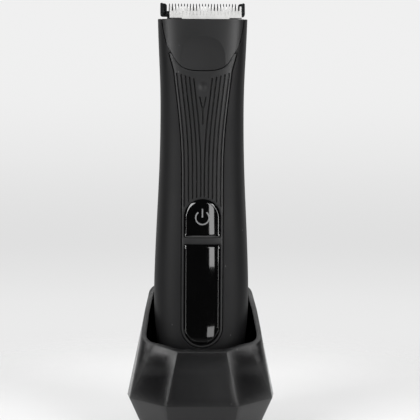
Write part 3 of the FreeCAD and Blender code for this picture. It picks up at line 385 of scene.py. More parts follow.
def cover(name, outline, thickness, proud=0.0, rim=0.3, holes=(), grooves=(), step=0.9, dish=None,
          ring_count=4, bevel=None):
    """A closed cover: outline (against the clock), holes and grooves as outlines, its front rim round or bevelled."""
    turns = np.linspace(0, np.pi / 2, ring_count)
    loops, depths = [], []
    rim_shape = bevel or [(rim * (1 - math.cos(turn)), rim * (1 - math.sin(turn))) for turn in turns]
    for inward, depth in rim_shape:
        loops.append(shrink(outline, inward))
        depths += [depth] * len(outline)
    for hole in holes:
        for turn in turns:
            loops.append(shrink(hole, -rim * (1 - math.cos(turn))))
            depths += [rim * (1 - math.sin(turn))] * len(hole)
    for groove, depth in grooves:
        loops += [groove, shrink(groove, 0.13)]
        depths += [0.0] * len(groove) + [depth] * len(groove)
    loose = mesh_grid(outline, step)
    open_to = inside(loose, shrink(outline, rim_shape[-1][0] + step * 0.4))
    for hole in holes:
        open_to &= ~inside(loose, shrink(hole, -rim - step * 0.4))
    for groove, _ in grooves:
        open_to &= ~inside(loose, shrink(groove, -step * 0.3))
    loose = loose[open_to]

    def keep(centres):
        ok = inside(centres, outline)
        for hole in holes:
            ok &= ~inside(centres, hole)
        return ok
    spots, faces, origin = fill(loops, loose, keep)
    drop = np.array([depths[o] if 0 <= o < len(depths) else 0.0 for o in origin])
    y = skin_front(spots[:, 0], spots[:, 1]) - proud + drop
    if dish is not None:
        y = dish(spots[:, 0], spots[:, 1], y)
    points = [(x, d, z) for (x, z), d in zip(spots, y)]
    back_loops = [outline] + list(holes)
    coarse = mesh_grid(outline, 2.5)
    clear = inside(coarse, shrink(outline, 1.2))
    for hole in holes:
        clear &= ~inside(coarse, shrink(hole, -1.2))
    back, back_faces, back_origin = fill(back_loops, coarse[clear], keep)
    base = len(points)
    points += [(x, float(skin_front(x, z, thickness)), z) for x, z in back]
    faces = [tuple(reversed(f)) for f in faces] + [tuple(base + i for i in f) for f in back_faces]
    front_index = {o: i for i, o in enumerate(origin) if o >= 0}
    back_index = {o: base + i for i, o in enumerate(back_origin) if o >= 0}
    front_start, back_start = 0, 0
    for loop, rings in [(outline, len(rim_shape))] + [(h, ring_count) for h in holes]:
        n = len(loop)
        for i in range(n):
            a, b = front_index[front_start + i], front_index[front_start + (i + 1) % n]
            c, d = back_index[back_start + (i + 1) % n], back_index[back_start + i]
            faces.append((a, b, c, d))
        front_start, back_start = front_start + n * rings, back_start + n
    return mesh_object(name, points, faces)


# %% [markdown]
# ## The housing shells
#
# The housing is two moulded halves that meet in a seam along the sides. Each is the outer form less
# the inner form, cut at the seam, with the opening for the head taken out of its top and the bed for
# the front panel sunk into its front. The bed is cut with a closed tool that stops 1.45 mm below the
# skin, so the shell keeps a floor under the panel, as the real moulding does.

# %% The housing shells
def bed_tool():
    """The sunken bed for the panel as a solid that reaches from in front of the skin down to the bed."""
    outline = bed_outline(0.0)
    spots, faces, origin = fill([outline],
                                mesh_grid(outline,
                                          1.2)[inside(mesh_grid(outline, 1.2), shrink(outline, 0.8))],
                                lambda centres: inside(centres, outline))
    floor = [(x, float(skin_front(x, z, PANEL_THICK + 0.1)), z) for x, z in spots]
    front = [(x, -30.0, z) for x, z in spots]
    at = {o: i for i, o in enumerate(origin) if o >= 0}
    n, m = len(outline), len(spots)
    sides = [(at[i], at[(i + 1) % n], m + at[(i + 1) % n], m + at[i]) for i in range(n)]
    both = [tuple(f) for f in faces] + [tuple(m + i for i in reversed(f)) for f in faces]
    return mesh_object("tool", floor + front, both + sides)


def back_slope():
    """The slanted plane behind the blades."""
    rows = [(3.4, 171.0), (3.4, 190.0), (30.0, 190.0), (30.0, 140.6)]
    points = [(x, y, z) for x in (-40, 40) for y, z in rows]
    faces = [(0, 1, 2, 3), (7, 6, 5, 4)] + [(i, 4 + i, 4 + (i + 1) % 4, (i + 1) % 4) for i in range(4)]
    return mesh_object("tool", points, faces)


HEAD_CLEAR = 0.15        # between the head cover and the opening, on each side of the drawn line
HEAD_BASE_PROUD = 0.2    # the head base fills out past that line, so no light passes straight through
HEAD_BASE_ROOM = 0.5
HEAD_COVER_END, HEAD_BASE_START = -6.05, -5.95


def housing_half(name, y0, y1):
    shell = handle_form(0.0, SHELL_FOOT, SHELL_TOP, name=name)
    carve(shell, [handle_form(WALL, SHELL_FOOT - 2, SHELL_TOP + 2, around=120, step=2.0)])
    carve(shell, [block(-40, 40, y0, y1, 0, 200)], "INTERSECT")
    return carve(shell,
                 [prism(head_outline(-HEAD_CLEAR)), prism(head_outline(-HEAD_BASE_ROOM), HEAD_COVER_END, 60),
                         back_slope()])


front_shell = housing_half("front_shell_skin", -40, SPLIT_Y - 0.06)
carve(front_shell, [bed_tool(), prism(button_outline(0.4), -40, -8)])
rear_shell = housing_half("rear_shell_skin", SPLIT_Y + 0.06, 40)
print("shell triangles:", len(front_shell.data.polygons), len(rear_shell.data.polygons))

# %% [markdown]
# ## The front panel and its grooves
#
# The panel is a separate thin moulding set into the bed, with a shadow line round it. Ten grooves
# fan out between its edges and two short ones meet in a V: they give wet fingers a hold. Each groove
# is drawn as an outline that keeps a fixed distance from the panel's edge, and the cover helper
# sinks it.

# %% The front panel and its grooves
GROOVE_COUNT, GROOVE_FIRST, GROOVE_STEP, GROOVE_WIDTH = 5, 1.3, 1.64, 0.68


def groove_outline(side, number):
    offset = GROOVE_FIRST + GROOVE_STEP * number
    reach = OPENING_HALF + 1.1
    low = BUTTON_ARC_Z + math.sqrt(max(reach ** 2 - (PANEL_HALF - offset) ** 2, 4.5 ** 2))
    heights = np.linspace(low, 149.2 - 0.5 * number, 60)
    middle = side * (panel_edge(heights) - offset)
    half = GROOVE_WIDTH / 2
    round_top = [(middle[-1] + half * math.cos(a),
                  heights[-1] + half * math.sin(a)) for a in np.linspace(0.5, 2.6, 4)]
    round_low = [(middle[0] + half * math.cos(a), heights[0] + half * math.sin(a)) for a in np.linspace(3.7,
                                                                                                        5.7,
                                                                                                        4)]
    right = [(x + half, z) for x, z in zip(middle, heights)]
    left = [(x - half, z) for x, z in zip(reversed(middle), reversed(heights))]
    return right + round_top + left + round_low


def fork_outline():
    """The Y of two short grooves that run into one."""
    right = [(0.28, z) for z in np.linspace(129.0, 134.4, 8)]
    right += [(0.28 + 1.27 * t, 134.4 + 5.6 * t) for t in np.linspace(0.15, 1.0, 8)]
    right += [(1.25, 140.2)] + [(0.97 * (1 - t), 140.0 - 4.3 * t) for t in np.linspace(0.0, 1.0, 7)]
    return mirrored(right)


def dimple(x, z, y):
    """A plain round dish pressed into the panel above the V."""
    reach = 4.0 ** 2 - x ** 2 - (z - 144.2) ** 2
    ball = np.where(reach > 0, -12.62 - 3.72 + np.sqrt(np.maximum(reach, 0)), -99)
    return np.maximum(y, ball)


def panel_outline():
    right = arc(0, WINDOW_ARC_Z, PANEL_HALF - PANEL_GAP, -90, 0, 24)
    right += [(float(panel_edge(z)) - PANEL_GAP, float(z)) for z in np.arange(WINDOW_ARC_Z + 0.8,
                                                                              HORN_TOP - 0.3, 0.8)]
    right += [(float(panel_edge(HORN_TOP)) - PANEL_GAP, HORN_TOP)]
    under_head = [(x, z) for x, z in head_curve(-0.2) if z < HORN_TOP - 0.25]
    return mirrored(right + list(reversed(under_head)))


long_grooves = [(groove_outline(side, k), 0.6) for side in (-1, 1) for k in range(GROOVE_COUNT)]
front_panel = cover("front_panel_skin", panel_outline(), PANEL_THICK, rim=0.16, ring_count=3,
                    holes=[button_outline(0.0), window_outline(0.0)],
                    grooves=long_grooves + [(fork_outline(), 0.55)], dish=dimple, step=0.8)
print("front panel triangles:", len(front_panel.data.polygons))

# %% [markdown]
# ## The glossy button and window
#
# Both are polished inserts that stand 0.2 mm proud with a bevel almost a millimetre wide, which is
# what catches a thin line of light. GLASS_EDGE gives the bevel as steps inward and down. The button
# also has a foot and a stem behind it.

# %% The glossy button and window
GLASS_EDGE = [(0.0, 0.5), (0.05, 0.42), (0.12, 0.36), (0.76, 0.05), (0.84, 0.015), (0.95, 0.0)]
window = cover("display_window_glass", window_outline(0.14), PANEL_THICK - 0.02, proud=0.2,
               bevel=GLASS_EDGE, step=0.7)


def post(radius, y0, y1, x, z, sides=40, name="post"):
    """A closed round bar lying along the depth."""
    ring = [(x + radius * math.cos(a),
             z + radius * math.sin(a)) for a in 2 * np.pi * np.arange(sides) / sides]
    return prism(ring, y0, y1, name)


button = cover("power_button_cap", button_outline(0.14), 1.0, proud=0.25, bevel=GLASS_EDGE, step=0.6)
button_foot = cover("foot", button_outline(0.62), 2.0, proud=-0.8, rim=0.1, ring_count=2, step=2.0)
join([button, button_foot, post(1.6, -12.8, -10.55, 0, BUTTON_ARC_Z - 0.6)])

# %% [markdown]
# ## The power sign
#
# An open ring with a stroke is the sign used on every such switch. It is printed in light grey, so
# it is a very thin cover that lies on the button.

# %% The power sign
def sign_ring():
    gap = 38
    outer = arc(0, BUTTON_ARC_Z, 2.98, 90 + gap, 450 - gap, 60)
    inner = arc(0, BUTTON_ARC_Z, 2.42, 450 - gap, 90 + gap, 60)
    return outer + inner


def sign_stroke():
    half, low, high = 0.29, BUTTON_ARC_Z + 0.35, BUTTON_ARC_Z + 3.35
    return (arc(0, low, half, 180, 360, 9) + [(half, z) for z in np.linspace(low + 0.5, high - 0.5, 4)]
            + arc(0, high, half, 0, 180, 9) + [(-half, z) for z in np.linspace(high - 0.5, low + 0.5, 4)])


sign = join([cover("power_sign", sign_ring(), 0.1, proud=0.262, rim=0.01, ring_count=2, step=1.0),
             cover("stroke", sign_stroke(), 0.1, proud=0.262, rim=0.01, ring_count=2, step=1.0)])


# %% [markdown]
# ## The lift-off head
#
# The head is a plug between the two wings of the housing. Its front is pressed in as a thumb rest,
# which a large sphere cuts. Its back is cut by the slanted plane, so that the blades can lie flat on
# the skin of the person using it. The room for the drive block and the slot for the blades are cut
# the same way as in the CAD model.

# %% The lift-off head
BLADE_SEAT_Y, BLADE_SEAT_Z, BLADE_LEAN = -1.2, 171.2, math.radians(20)
SEAT_BOTTOM = 164.7


def leaned(point):
    """Carries a point from the blades' own upright frame to their leaning place."""
    x, y, z = point
    c, s = math.cos(BLADE_LEAN), math.sin(BLADE_LEAN)
    return (x, BLADE_SEAT_Y + y * c + z * s, BLADE_SEAT_Z - y * s + z * c)


def leaning_block(x0, x1, y0, y1, z0, z1):
    tool = block(x0, x1, y0, y1, z0, z1)
    for v in tool.data.vertices:
        v.co = Vector(leaned(v.co / MM)) * MM
    return tool


def head_room():
    room = handle_form(1.8, 148.0, 176.0, around=120, step=1.5, name="room")
    carve(room, [prism(head_outline(2.1)), block(-40, 40, -9.6, 40, 152.6, SHELL_TOP - 1.5)], "INTERSECT")
    seat = carve(leaning_block(-17, 17, 1.05, 20, -12, 8), [block(-40, 40, -40, 40, SEAT_BOTTOM, 200)],
                 "INTERSECT")
    carve(room, [seat])
    slot = leaning_block(-15.95, 15.95, -1.6, 1.05, -7.4, 4)
    carve(slot,
          [block(-40, 40, -40, 40, SEAT_BOTTOM, SHELL_TOP + 1),
           handle_form(1.2, 148.0, 176.0, around=120, step=1.5)],
          "INTERSECT")
    return carve(room, [slot], "UNION")


def thumb_ball():
    """A finely divided piece of a 150 mm sphere, closed at its back."""
    radius, depth, rows = 150.0, 0.6, 90
    cy, cz = -12.55 - radius + depth, 153.5
    points = [(0.0, cy + radius, cz)]
    for i in range(1, rows + 1):
        polar = 0.17 * i / rows
        points += [(radius * math.sin(polar) * math.cos(a), cy + radius * math.cos(polar),
                    cz + radius * math.sin(polar) * math.sin(a))
                   for a in 2 * np.pi * np.arange(120) / 120]
    faces = [(0, 1 + (i + 1) % 120, 1 + i) for i in range(120)]
    faces += ring_faces(rows, 120, 1)
    last = 1 + (rows - 1) * 120
    return mesh_object("tool", points, faces + [tuple(range(last, last + 120))])


def head_part(name, y0, y1, inset):
    part = handle_form(0.0, 148.0, SHELL_TOP, step=0.5, name=name)
    carve(part, [prism(head_outline(inset)), block(-40, 40, y0, y1, 0, 200)], "INTERSECT")
    return carve(part, [back_slope(), head_room()])


head_cover = carve(head_part("head_cover_skin", -40, HEAD_COVER_END, HEAD_CLEAR), [thumb_ball()])
head_base = head_part("head_base_skin", HEAD_BASE_START, 40, -HEAD_BASE_PROUD)


def upright_post(radius, z0, z1, x, y, sides=48):
    ring = [(x + radius * math.cos(a),
             y + radius * math.sin(a)) for a in 2 * np.pi * np.arange(sides) / sides]
    points = [(a, b, z) for z in (z0, z1) for a, b in ring]
    return mesh_object("post", points, ring_faces(2, sides) + end_faces(2, sides))


carve(head_base,
      [upright_post(4.3, 140, 153, 0, -1.5), block(8.2, 9.8, -5, 2, 140, 157),
       block(-9.8, -8.2, -5, 2, 140, 157)])
print("head triangles:", len(head_cover.data.polygons), len(head_base.data.polygons))

# %% [markdown]
# ## The faceted dock
#
# The dock is cut like a stone: ten sides, widest just above the table, with crisp creases at the
# front and back corners and side corners that start sharp and grow round towards the rim. Between
# two levels each side is a ruled surface, straight lines joined from one outline to the next, so a
# few outlines describe it all. The rim is then cut off along a raked curve.

# %% The faceted dock
DOCK_LEVELS = [
    (1.0, (12.4, 18.2), (22.6, 6.3), 23.4, (22.6, 6.3), (12.4, 18.2), 0.5),
    (16.5, (14.4, 24.0), (29.3, 8.0), 30.4, (29.3, 8.0), (14.4, 24.0), 0.8),
    (46.0, (8.3, 20.9), (23.9, 18.2), 24.3, (23.4, 13.5), (9.5, 20.8), 8.5),
    (68.0, (3.9, 18.6), (20.3, 16.0), 20.0, (19.8, 12.4), (8.6, 19.4), 8.5),
]
RIM_PROFILE = [(-32.0, 36.9), (-21.7, 38.3), (-12.0, 43.6), (0.0, 52.2), (10.0, 58.6), (17.0, 61.3),
               (24.0, 62.0)]
DOCK_WALL = 2.0


def dock_ring(level, inset, turn_steps=10, side_steps=6):
    """One outline of the dock as evenly counted points, its side corners rounded."""
    z, front, side, middle, rear_side, rear, radius = level
    radius = max(radius - inset, 0.25)
    a, e = (front[0] - 0.42 * inset, inset - front[1]), (rear[0] - 0.42 * inset, rear[1] - inset)
    b, d = (side[0] - inset, 0.45 * inset - side[1]), (rear_side[0] - inset, rear_side[1] - 0.45 * inset)
    right = [(a, 0), (b, radius), ((middle - inset, 0.0), 0), (d, radius), (e, 0)]
    loop = right + [((-x, y), r) for (x, y), r in reversed(right)]
    spans = []
    for i, (corner, r) in enumerate(loop):
        here = np.array(corner)
        if not r:
            spans.append([here])
            continue
        u, w = np.array(loop[i - 1][0]) - here, np.array(loop[(i + 1) % len(loop)][0]) - here
        u, w = u / np.linalg.norm(u), w / np.linalg.norm(w)
        half = math.acos(np.clip(u @ w, -1, 1)) / 2
        bisector = (u + w) / np.linalg.norm(u + w)
        centre = here + bisector * r / math.sin(half)
        first, last = here + u * r / math.tan(half) - centre, here + w * r / math.tan(half) - centre
        sweep = math.pi - 2 * half
        parts = []
        for t in np.linspace(0, 1, turn_steps + 1):
            k0, k1 = math.sin((1 - t) * sweep) / math.sin(sweep), math.sin(t * sweep) / math.sin(sweep)
            parts.append(centre + first * k0 + last * k1)
        spans.append(parts)
    ring = []
    for i, parts in enumerate(spans):
        ring += parts
        start, end = parts[-1], spans[(i + 1) % len(spans)][0]
        ring += [start + (end - start) * t for t in np.linspace(0, 1, side_steps + 1)[1:-1]]
    return [(p[0], p[1], z) for p in ring]


def dock_form(inset, name="tool", foot=None, low=None, high=None):
    """The closed solid inside the dock's facets, shrunk by inset."""
    rings = [np.array(dock_ring(level, inset)) for level in DOCK_LEVELS]
    stack = []
    for (below, above), steps in zip(zip(rings, rings[1:]), (8, 20, 16)):
        stack += [below + (above - below) * t for t in np.linspace(0, 1, steps, endpoint=False)]
    stack.append(rings[-1])
    if foot is not None:
        stack.insert(0, rings[0] - np.array([0, 0, foot]))
    count = len(stack[0])
    points = [p for ring in stack for p in ring]
    form = mesh_object(name, points, ring_faces(len(stack), count) + end_faces(len(stack), count))
    if low is not None:
        carve(form, [block(-60, 60, -60, 60, low, high)], "INTERSECT")
    return form


def rake_tool():
    """Everything above the raked rim."""
    rim_height = smooth_curve([p[0] for p in RIM_PROFILE], [p[1] for p in RIM_PROFILE])
    rows = [(float(y), float(rim_height(y))) for y in np.linspace(-32, 24, 90)] + [(24.0, 120.0),
                                                                                   (-32.0, 120.0)]
    n = len(rows)
    points = [(x, y, z) for x in (-60, 60) for y, z in rows]
    faces = [tuple(range(n)),
             tuple(range(2 * n - 1, n - 1, -1))] + [(i, (i + 1) % n, n + (i + 1) % n,
                                                     n + i) for i in range(n)]
    return mesh_object("tool", points, faces)


def slot_outline(half_width, half_height, z):
    reach = half_width - half_height
    return arc(reach, z, half_height, -90, 90, 20) + arc(-reach, z, half_height, 90, 270, 20)


# across, height and how deep each screw boss reaches; the bosses come 0.8 and 0.3 mm through the skin
SCREW_SPOTS = [(12.8, 58.0, 14.8), (12.0, 138.6, 10.8)]
for x, z, wall in SCREW_SPOTS:
    for side in (-1, 1):
        carve(rear_shell, [post(2.3, 2.0, wall, side * x, z)], "UNION")
        carve(rear_shell, [post(1.95, 4.6, 40, side * x, z)])
        carve(rear_shell, [post(1.15, 0, 6, side * x, z)])
dock_shell = carve(dock_form(0.0, "dock_shell_skin"), [rake_tool(), dock_form(DOCK_WALL, foot=3.0)])
deck = carve(dock_form(DOCK_WALL - 0.3, "deck", low=31.8, high=33.6), [handle_form(-2.62, 28, 38)])
carve(dock_shell, [deck], "UNION")
carve(dock_shell, [prism(slot_outline(4.85, 1.95, 13.4), 12, 40)])
print("dock shell faces:", len(dock_shell.data.polygons))

# %% [markdown]
# ## The blades
#
# Two toothed plates slide on each other: a fixed comb of coated steel that touches the skin, and a
# white ceramic cutter in front of it. A row of equal teeth is just what Geometry Nodes are for. The
# tree takes one tooth, sets it out along a line and makes the copies real. Its inputs are named, so
# that both blades use the same tree with their own count and pitch.

# %% A Geometry Nodes tree that sets out copies in a row
def add(tree, kind, values=None, **settings):
    """A new node with its settings, then the values of the inputs that nothing is linked to."""
    made = tree.nodes.new(kind)
    for setting, value in settings.items():
        setattr(made, setting, value)
    for socket, value in (values or {}).items():
        made.inputs[socket].default_value = value
    return made


def wire(tree, *pairs):
    for output, socket in pairs:
        tree.links.new(output, socket)


def row_tree():
    tree = bpy.data.node_groups.new("set_out_in_a_row", "GeometryNodeTree")
    for label, kind in (("Geometry", "NodeSocketGeometry"), ("Count", "NodeSocketInt"),
                        ("Pitch", "NodeSocketFloat"), ("Material", "NodeSocketMaterial")):
        tree.interface.new_socket(label, in_out="INPUT", socket_type=kind)
    tree.interface.new_socket("Geometry", in_out="OUTPUT", socket_type="NodeSocketGeometry")
    given, result = add(tree, "NodeGroupInput"), add(tree, "NodeGroupOutput")
    line = add(tree, "GeometryNodeMeshLine")
    minus = add(tree, "ShaderNodeMath", {1: 1.0}, operation="SUBTRACT")
    half = add(tree, "ShaderNodeMath", {1: -0.5}, operation="MULTIPLY")
    reach = add(tree, "ShaderNodeMath", {2: 0.0}, operation="MULTIPLY_ADD")
    start, offset = add(tree, "ShaderNodeCombineXYZ"), add(tree, "ShaderNodeCombineXYZ")
    copies, real = add(tree, "GeometryNodeInstanceOnPoints"), add(tree, "GeometryNodeRealizeInstances")
    paint = add(tree, "GeometryNodeSetMaterial")
    wire(tree,
         (given.outputs["Count"], minus.inputs[0]), (minus.outputs[0], half.inputs[0]),
         (half.outputs[0], reach.inputs[0]), (given.outputs["Pitch"], reach.inputs[1]),
         (reach.outputs[0], start.inputs["X"]), (given.outputs["Pitch"], offset.inputs["X"]),
         (given.outputs["Count"], line.inputs["Count"]), (start.outputs[0], line.inputs["Start Location"]),
         (offset.outputs[0], line.inputs["Offset"]), (line.outputs["Mesh"], copies.inputs["Points"]),
         (given.outputs["Geometry"], copies.inputs["Instance"]), (copies.outputs[0], real.inputs[0]),
         (real.outputs[0], paint.inputs["Geometry"]), (given.outputs["Material"], paint.inputs["Material"]),
         (paint.outputs[0], result.inputs[0]))
    return tree


ROW_TREE = row_tree()


def set_out(piece, count, pitch):
    """Repeats a piece along X with the tree, then makes it a plain mesh."""
    step = piece.modifiers.new("row", "NODES")
    step.node_group = ROW_TREE
    names = {item.name: item.identifier for item in ROW_TREE.interface.items_tree if item.in_out == "INPUT"}
    step[names["Count"]], step[names["Pitch"]] = count, pitch * MM
    return apply_modifiers(piece)


# %% [markdown]
# ## One tooth, and the plates behind the teeth
#
# A ground tooth narrows towards its tip and its face is bevelled. It is built from a few slices
# bottom to top, each an oblong with its corners taken off, so one tooth has only a few dozen faces
# and the whole row stays light.

# %% One tooth, and the plates behind the teeth
def tooth(name, slices):
    """slices: height, half width, front, back, corner."""
    points = []
    for z, half, front, back, c in slices:
        points += [(-half + c, front, z), (half - c, front, z), (half, front + c, z), (half, back - c, z),
                   (half - c, back, z), (-half + c, back, z), (-half, back - c, z), (-half, front + c, z)]
    return mesh_object(name, points, ring_faces(len(slices), 8) + end_faces(len(slices), 8))


def lean_piece(piece, shift=0.0):
    for v in piece.data.vertices:
        x, y, z = leaned(v.co / MM)
        v.co = Vector((x + shift, y, z)) * MM
    return piece


def rounded_box(x0, x1, y0, y1, z0, z1, radius, name="plate"):
    """A plate whose four corners seen from the front are round."""
    outline = (arc(x1 - radius, z0 + radius, radius, -90, 0, 8) + arc(x1 - radius, z1 - radius, radius, 0,
                                                                      90, 8)
               + arc(x0 + radius, z1 - radius, radius, 90, 180, 8) + arc(x0 + radius, z0 + radius, radius,
                                                                         180, 270, 8))
    return prism(outline, y0, y1, name)


FIXED_TIP, CUTTER_TIP, CUTTER_REST = 6.8, 5.3, 1.25
BLADE_HALF, CUTTER_HALF = 17.15, 14.6


def make_comb():
    comb = rounded_box(-14.4, 14.4, 0, 1, -6.4, 2.2, 0.4, "fixed_blade_comb")
    bridge = rounded_box(-BLADE_HALF, BLADE_HALF, 0.0, 1.0, 1.3, 3.5, 1.0)
    ends = [rounded_box(min(s * 14.45, s * BLADE_HALF), max(s * 14.45, s * BLADE_HALF), 0.0, 0.98, 1.4,
                        FIXED_TIP, 1.15)
            for s in (-1, 1)]
    guards = [rounded_box(min(s * 15.97, s * BLADE_HALF), max(s * 15.97, s * BLADE_HALF), -1.35, 0.1, 1.3,
                          FIXED_TIP - 0.3, 0.55)
              for s in (-1, 1)]
    one = tooth("teeth", [(3.2, 0.33, 0, 1, 0.05), (4.6, 0.27, 0, 1, 0.08), (5.8, 0.215, 0, 0.72, 0.09),
                          (6.55, 0.17, 0.02, 0.5, 0.09), (6.8, 0.1, 0.1, 0.38, 0.05)])
    teeth = set_out(one, 23, 1.22)
    return join([comb, bridge] + ends + guards + [teeth])


def make_cutter():
    plate = prism([(-9.6, -5.4), (9.6, -5.4), (9.6, 0.2), (CUTTER_HALF, 0.2), (CUTTER_HALF, 3.3),
                   (-CUTTER_HALF, 3.3),
                   (-CUTTER_HALF, 0.2), (-9.6, 0.2)], -1.05, -0.05, "ceramic_cutter_plate")
    flute = set_out(block(-0.2, 0.2, -1.5, -0.88, 1.3, 4.0, "flutes"), 20, 1.41)
    carve(plate, [flute] + [post(0.8, -2, 1, x, -4.3) for x in (-6.5, 6.5)])
    one = tooth("teeth",
                [(3.25, 0.465, -1.05, -0.05, 0.06), (3.9, 0.42, -1.05, -0.05, 0.1),
                 (4.7, 0.35, -0.82, -0.05, 0.1),
                          (5.15, 0.27, -0.66, -0.06, 0.08), (5.3, 0.16, -0.55, -0.12, 0.05)])
    teeth = set_out(one, 19, 1.41)
    ends = [rounded_box(min(s * 13.8, s * CUTTER_HALF), max(s * 13.8, s * CUTTER_HALF), -1.0, -0.05, 2.8,
                        CUTTER_TIP - 0.05, 0.3)
            for s in (-1, 1)]
    return join([plate, teeth] + ends)


comb = lean_piece(make_comb())
cutter = lean_piece(make_cutter(), CUTTER_REST)
print("blade faces:", len(comb.data.polygons), len(cutter.data.polygons))

# %% [markdown]
# ## Finishes: shared effects
#
# Moulded black plastic is never one flat black. Up close it has a fine spark-eroded grain, slow
# patches where it is a little smoother or greyer, and its edges are softly rounded. Those effects
# are node groups, built once and used with different values: one gives the grain and the patches,
# one gives rounded edges, and one gives thin grinding lines for metal.

# %% Finishes: shared effects
def new_group(name, inputs, outputs):
    group = bpy.data.node_groups.new(name, "ShaderNodeTree")
    for label, kind, default in inputs:
        socket = group.interface.new_socket(label, in_out="INPUT", socket_type=kind)
        socket.default_value = default
    for label, kind in outputs:
        group.interface.new_socket(label, in_out="OUTPUT", socket_type=kind)
    return group, group.nodes.new("NodeGroupInput"), group.nodes.new("NodeGroupOutput")


def grain_group():
    """Height of a fine grain, and two slow masks: patches and specks."""
    group, given, result = new_group(
        "moulded_grain",
        [("Grain Scale", "NodeSocketFloat", 4000.0), ("Patch Scale", "NodeSocketFloat", 60.0)],
        [("Height", "NodeSocketFloat"), ("Patches", "NodeSocketFloat"), ("Specks", "NodeSocketFloat")])
    place = add(group, "ShaderNodeTexCoord")
    fine = add(group, "ShaderNodeTexNoise", {"Detail": 3.0})
    slow = add(group, "ShaderNodeTexNoise", {"Detail": 4.0})
    dust = add(group, "ShaderNodeTexVoronoi", {"Scale": 420.0})
    near = add(group, "ShaderNodeMapRange", {"From Min": 0.09, "From Max": 0.03})
    rare = add(group, "ShaderNodeMath", {1: 0.86}, operation="GREATER_THAN")
    split = add(group, "ShaderNodeSeparateColor")
    both = add(group, "ShaderNodeMath", operation="MULTIPLY")
    wire(group, *[(place.outputs["Object"], texture.inputs["Vector"]) for texture in (fine, slow, dust)])
    wire(group,
         (given.outputs["Grain Scale"], fine.inputs["Scale"]),
         (given.outputs["Patch Scale"], slow.inputs["Scale"]),
         (dust.outputs["Distance"], near.inputs["Value"]), (dust.outputs["Color"], split.inputs[0]),
         (split.outputs[0], rare.inputs[0]), (near.outputs[0], both.inputs[0]),
         (rare.outputs[0], both.inputs[1]),
         (fine.outputs["Fac"], result.inputs["Height"]), (slow.outputs["Fac"], result.inputs["Patches"]),
         (both.outputs[0], result.inputs["Specks"]))
    return group


def rounding_group():
    """The normal of an edge rounded by a radius, without more mesh; a wide radius can be mixed in."""
    group, given, result = new_group(
        "soft_edges",
        [("Radius", "NodeSocketFloat", 0.0002), ("Wide Radius", "NodeSocketFloat", 0.0),
         ("Wide Share", "NodeSocketFloat", 0.0)],
        [("Normal", "NodeSocketVector")])
    rounded, wide = add(group, "ShaderNodeBevel", samples=4), add(group, "ShaderNodeBevel", samples=6)
    blend = add(group, "ShaderNodeMix", data_type="VECTOR")
    even = add(group, "ShaderNodeVectorMath", operation="NORMALIZE")
    wire(group,
         (given.outputs["Radius"], rounded.inputs["Radius"]),
         (given.outputs["Wide Radius"], wide.inputs["Radius"]),
         (given.outputs["Wide Share"], blend.inputs["Factor"]),
         (rounded.outputs["Normal"], blend.inputs["A"]),
         (wide.outputs["Normal"], blend.inputs["B"]), (blend.outputs["Result"], even.inputs[0]),
         (even.outputs[0], result.inputs["Normal"]))
    return group


def brushed_group():
    """Thin lines along X, as grinding leaves them."""
    group, given, result = new_group("grinding_lines", [("Fineness", "NodeSocketFloat", 6000.0)],
                                     [("Lines", "NodeSocketFloat")])
    nodes, links = group.nodes, group.links
    place, squeeze, tex = nodes.new("ShaderNodeTexCoord"), nodes.new("ShaderNodeMapping"), nodes.new("ShaderNodeTexNoise")
    squeeze.inputs["Scale"].default_value = (0.02, 1.0, 1.0)
    tex.inputs["Detail"].default_value = 4.0
    links.new(place.outputs["Object"], squeeze.inputs["Vector"])
    links.new(squeeze.outputs[0], tex.inputs["Vector"])
    links.new(given.outputs["Fineness"], tex.inputs["Scale"])
    links.new(tex.outputs["Fac"], result.inputs["Lines"])
    return group


GRAIN, ROUNDING, BRUSHED = grain_group(), rounding_group(), brushed_group()


# %% [markdown]
# ## Finishes: one recipe for all moulded and metal parts
#
# Each finish mixes a darker and a lighter colour by the slow patches, lets the roughness drift with
# them, and adds the grain as a bump on top of the rounded edges. Plain numbers that do not change
# over the surface, such as the coat or the index of refraction, sit on the shader itself.

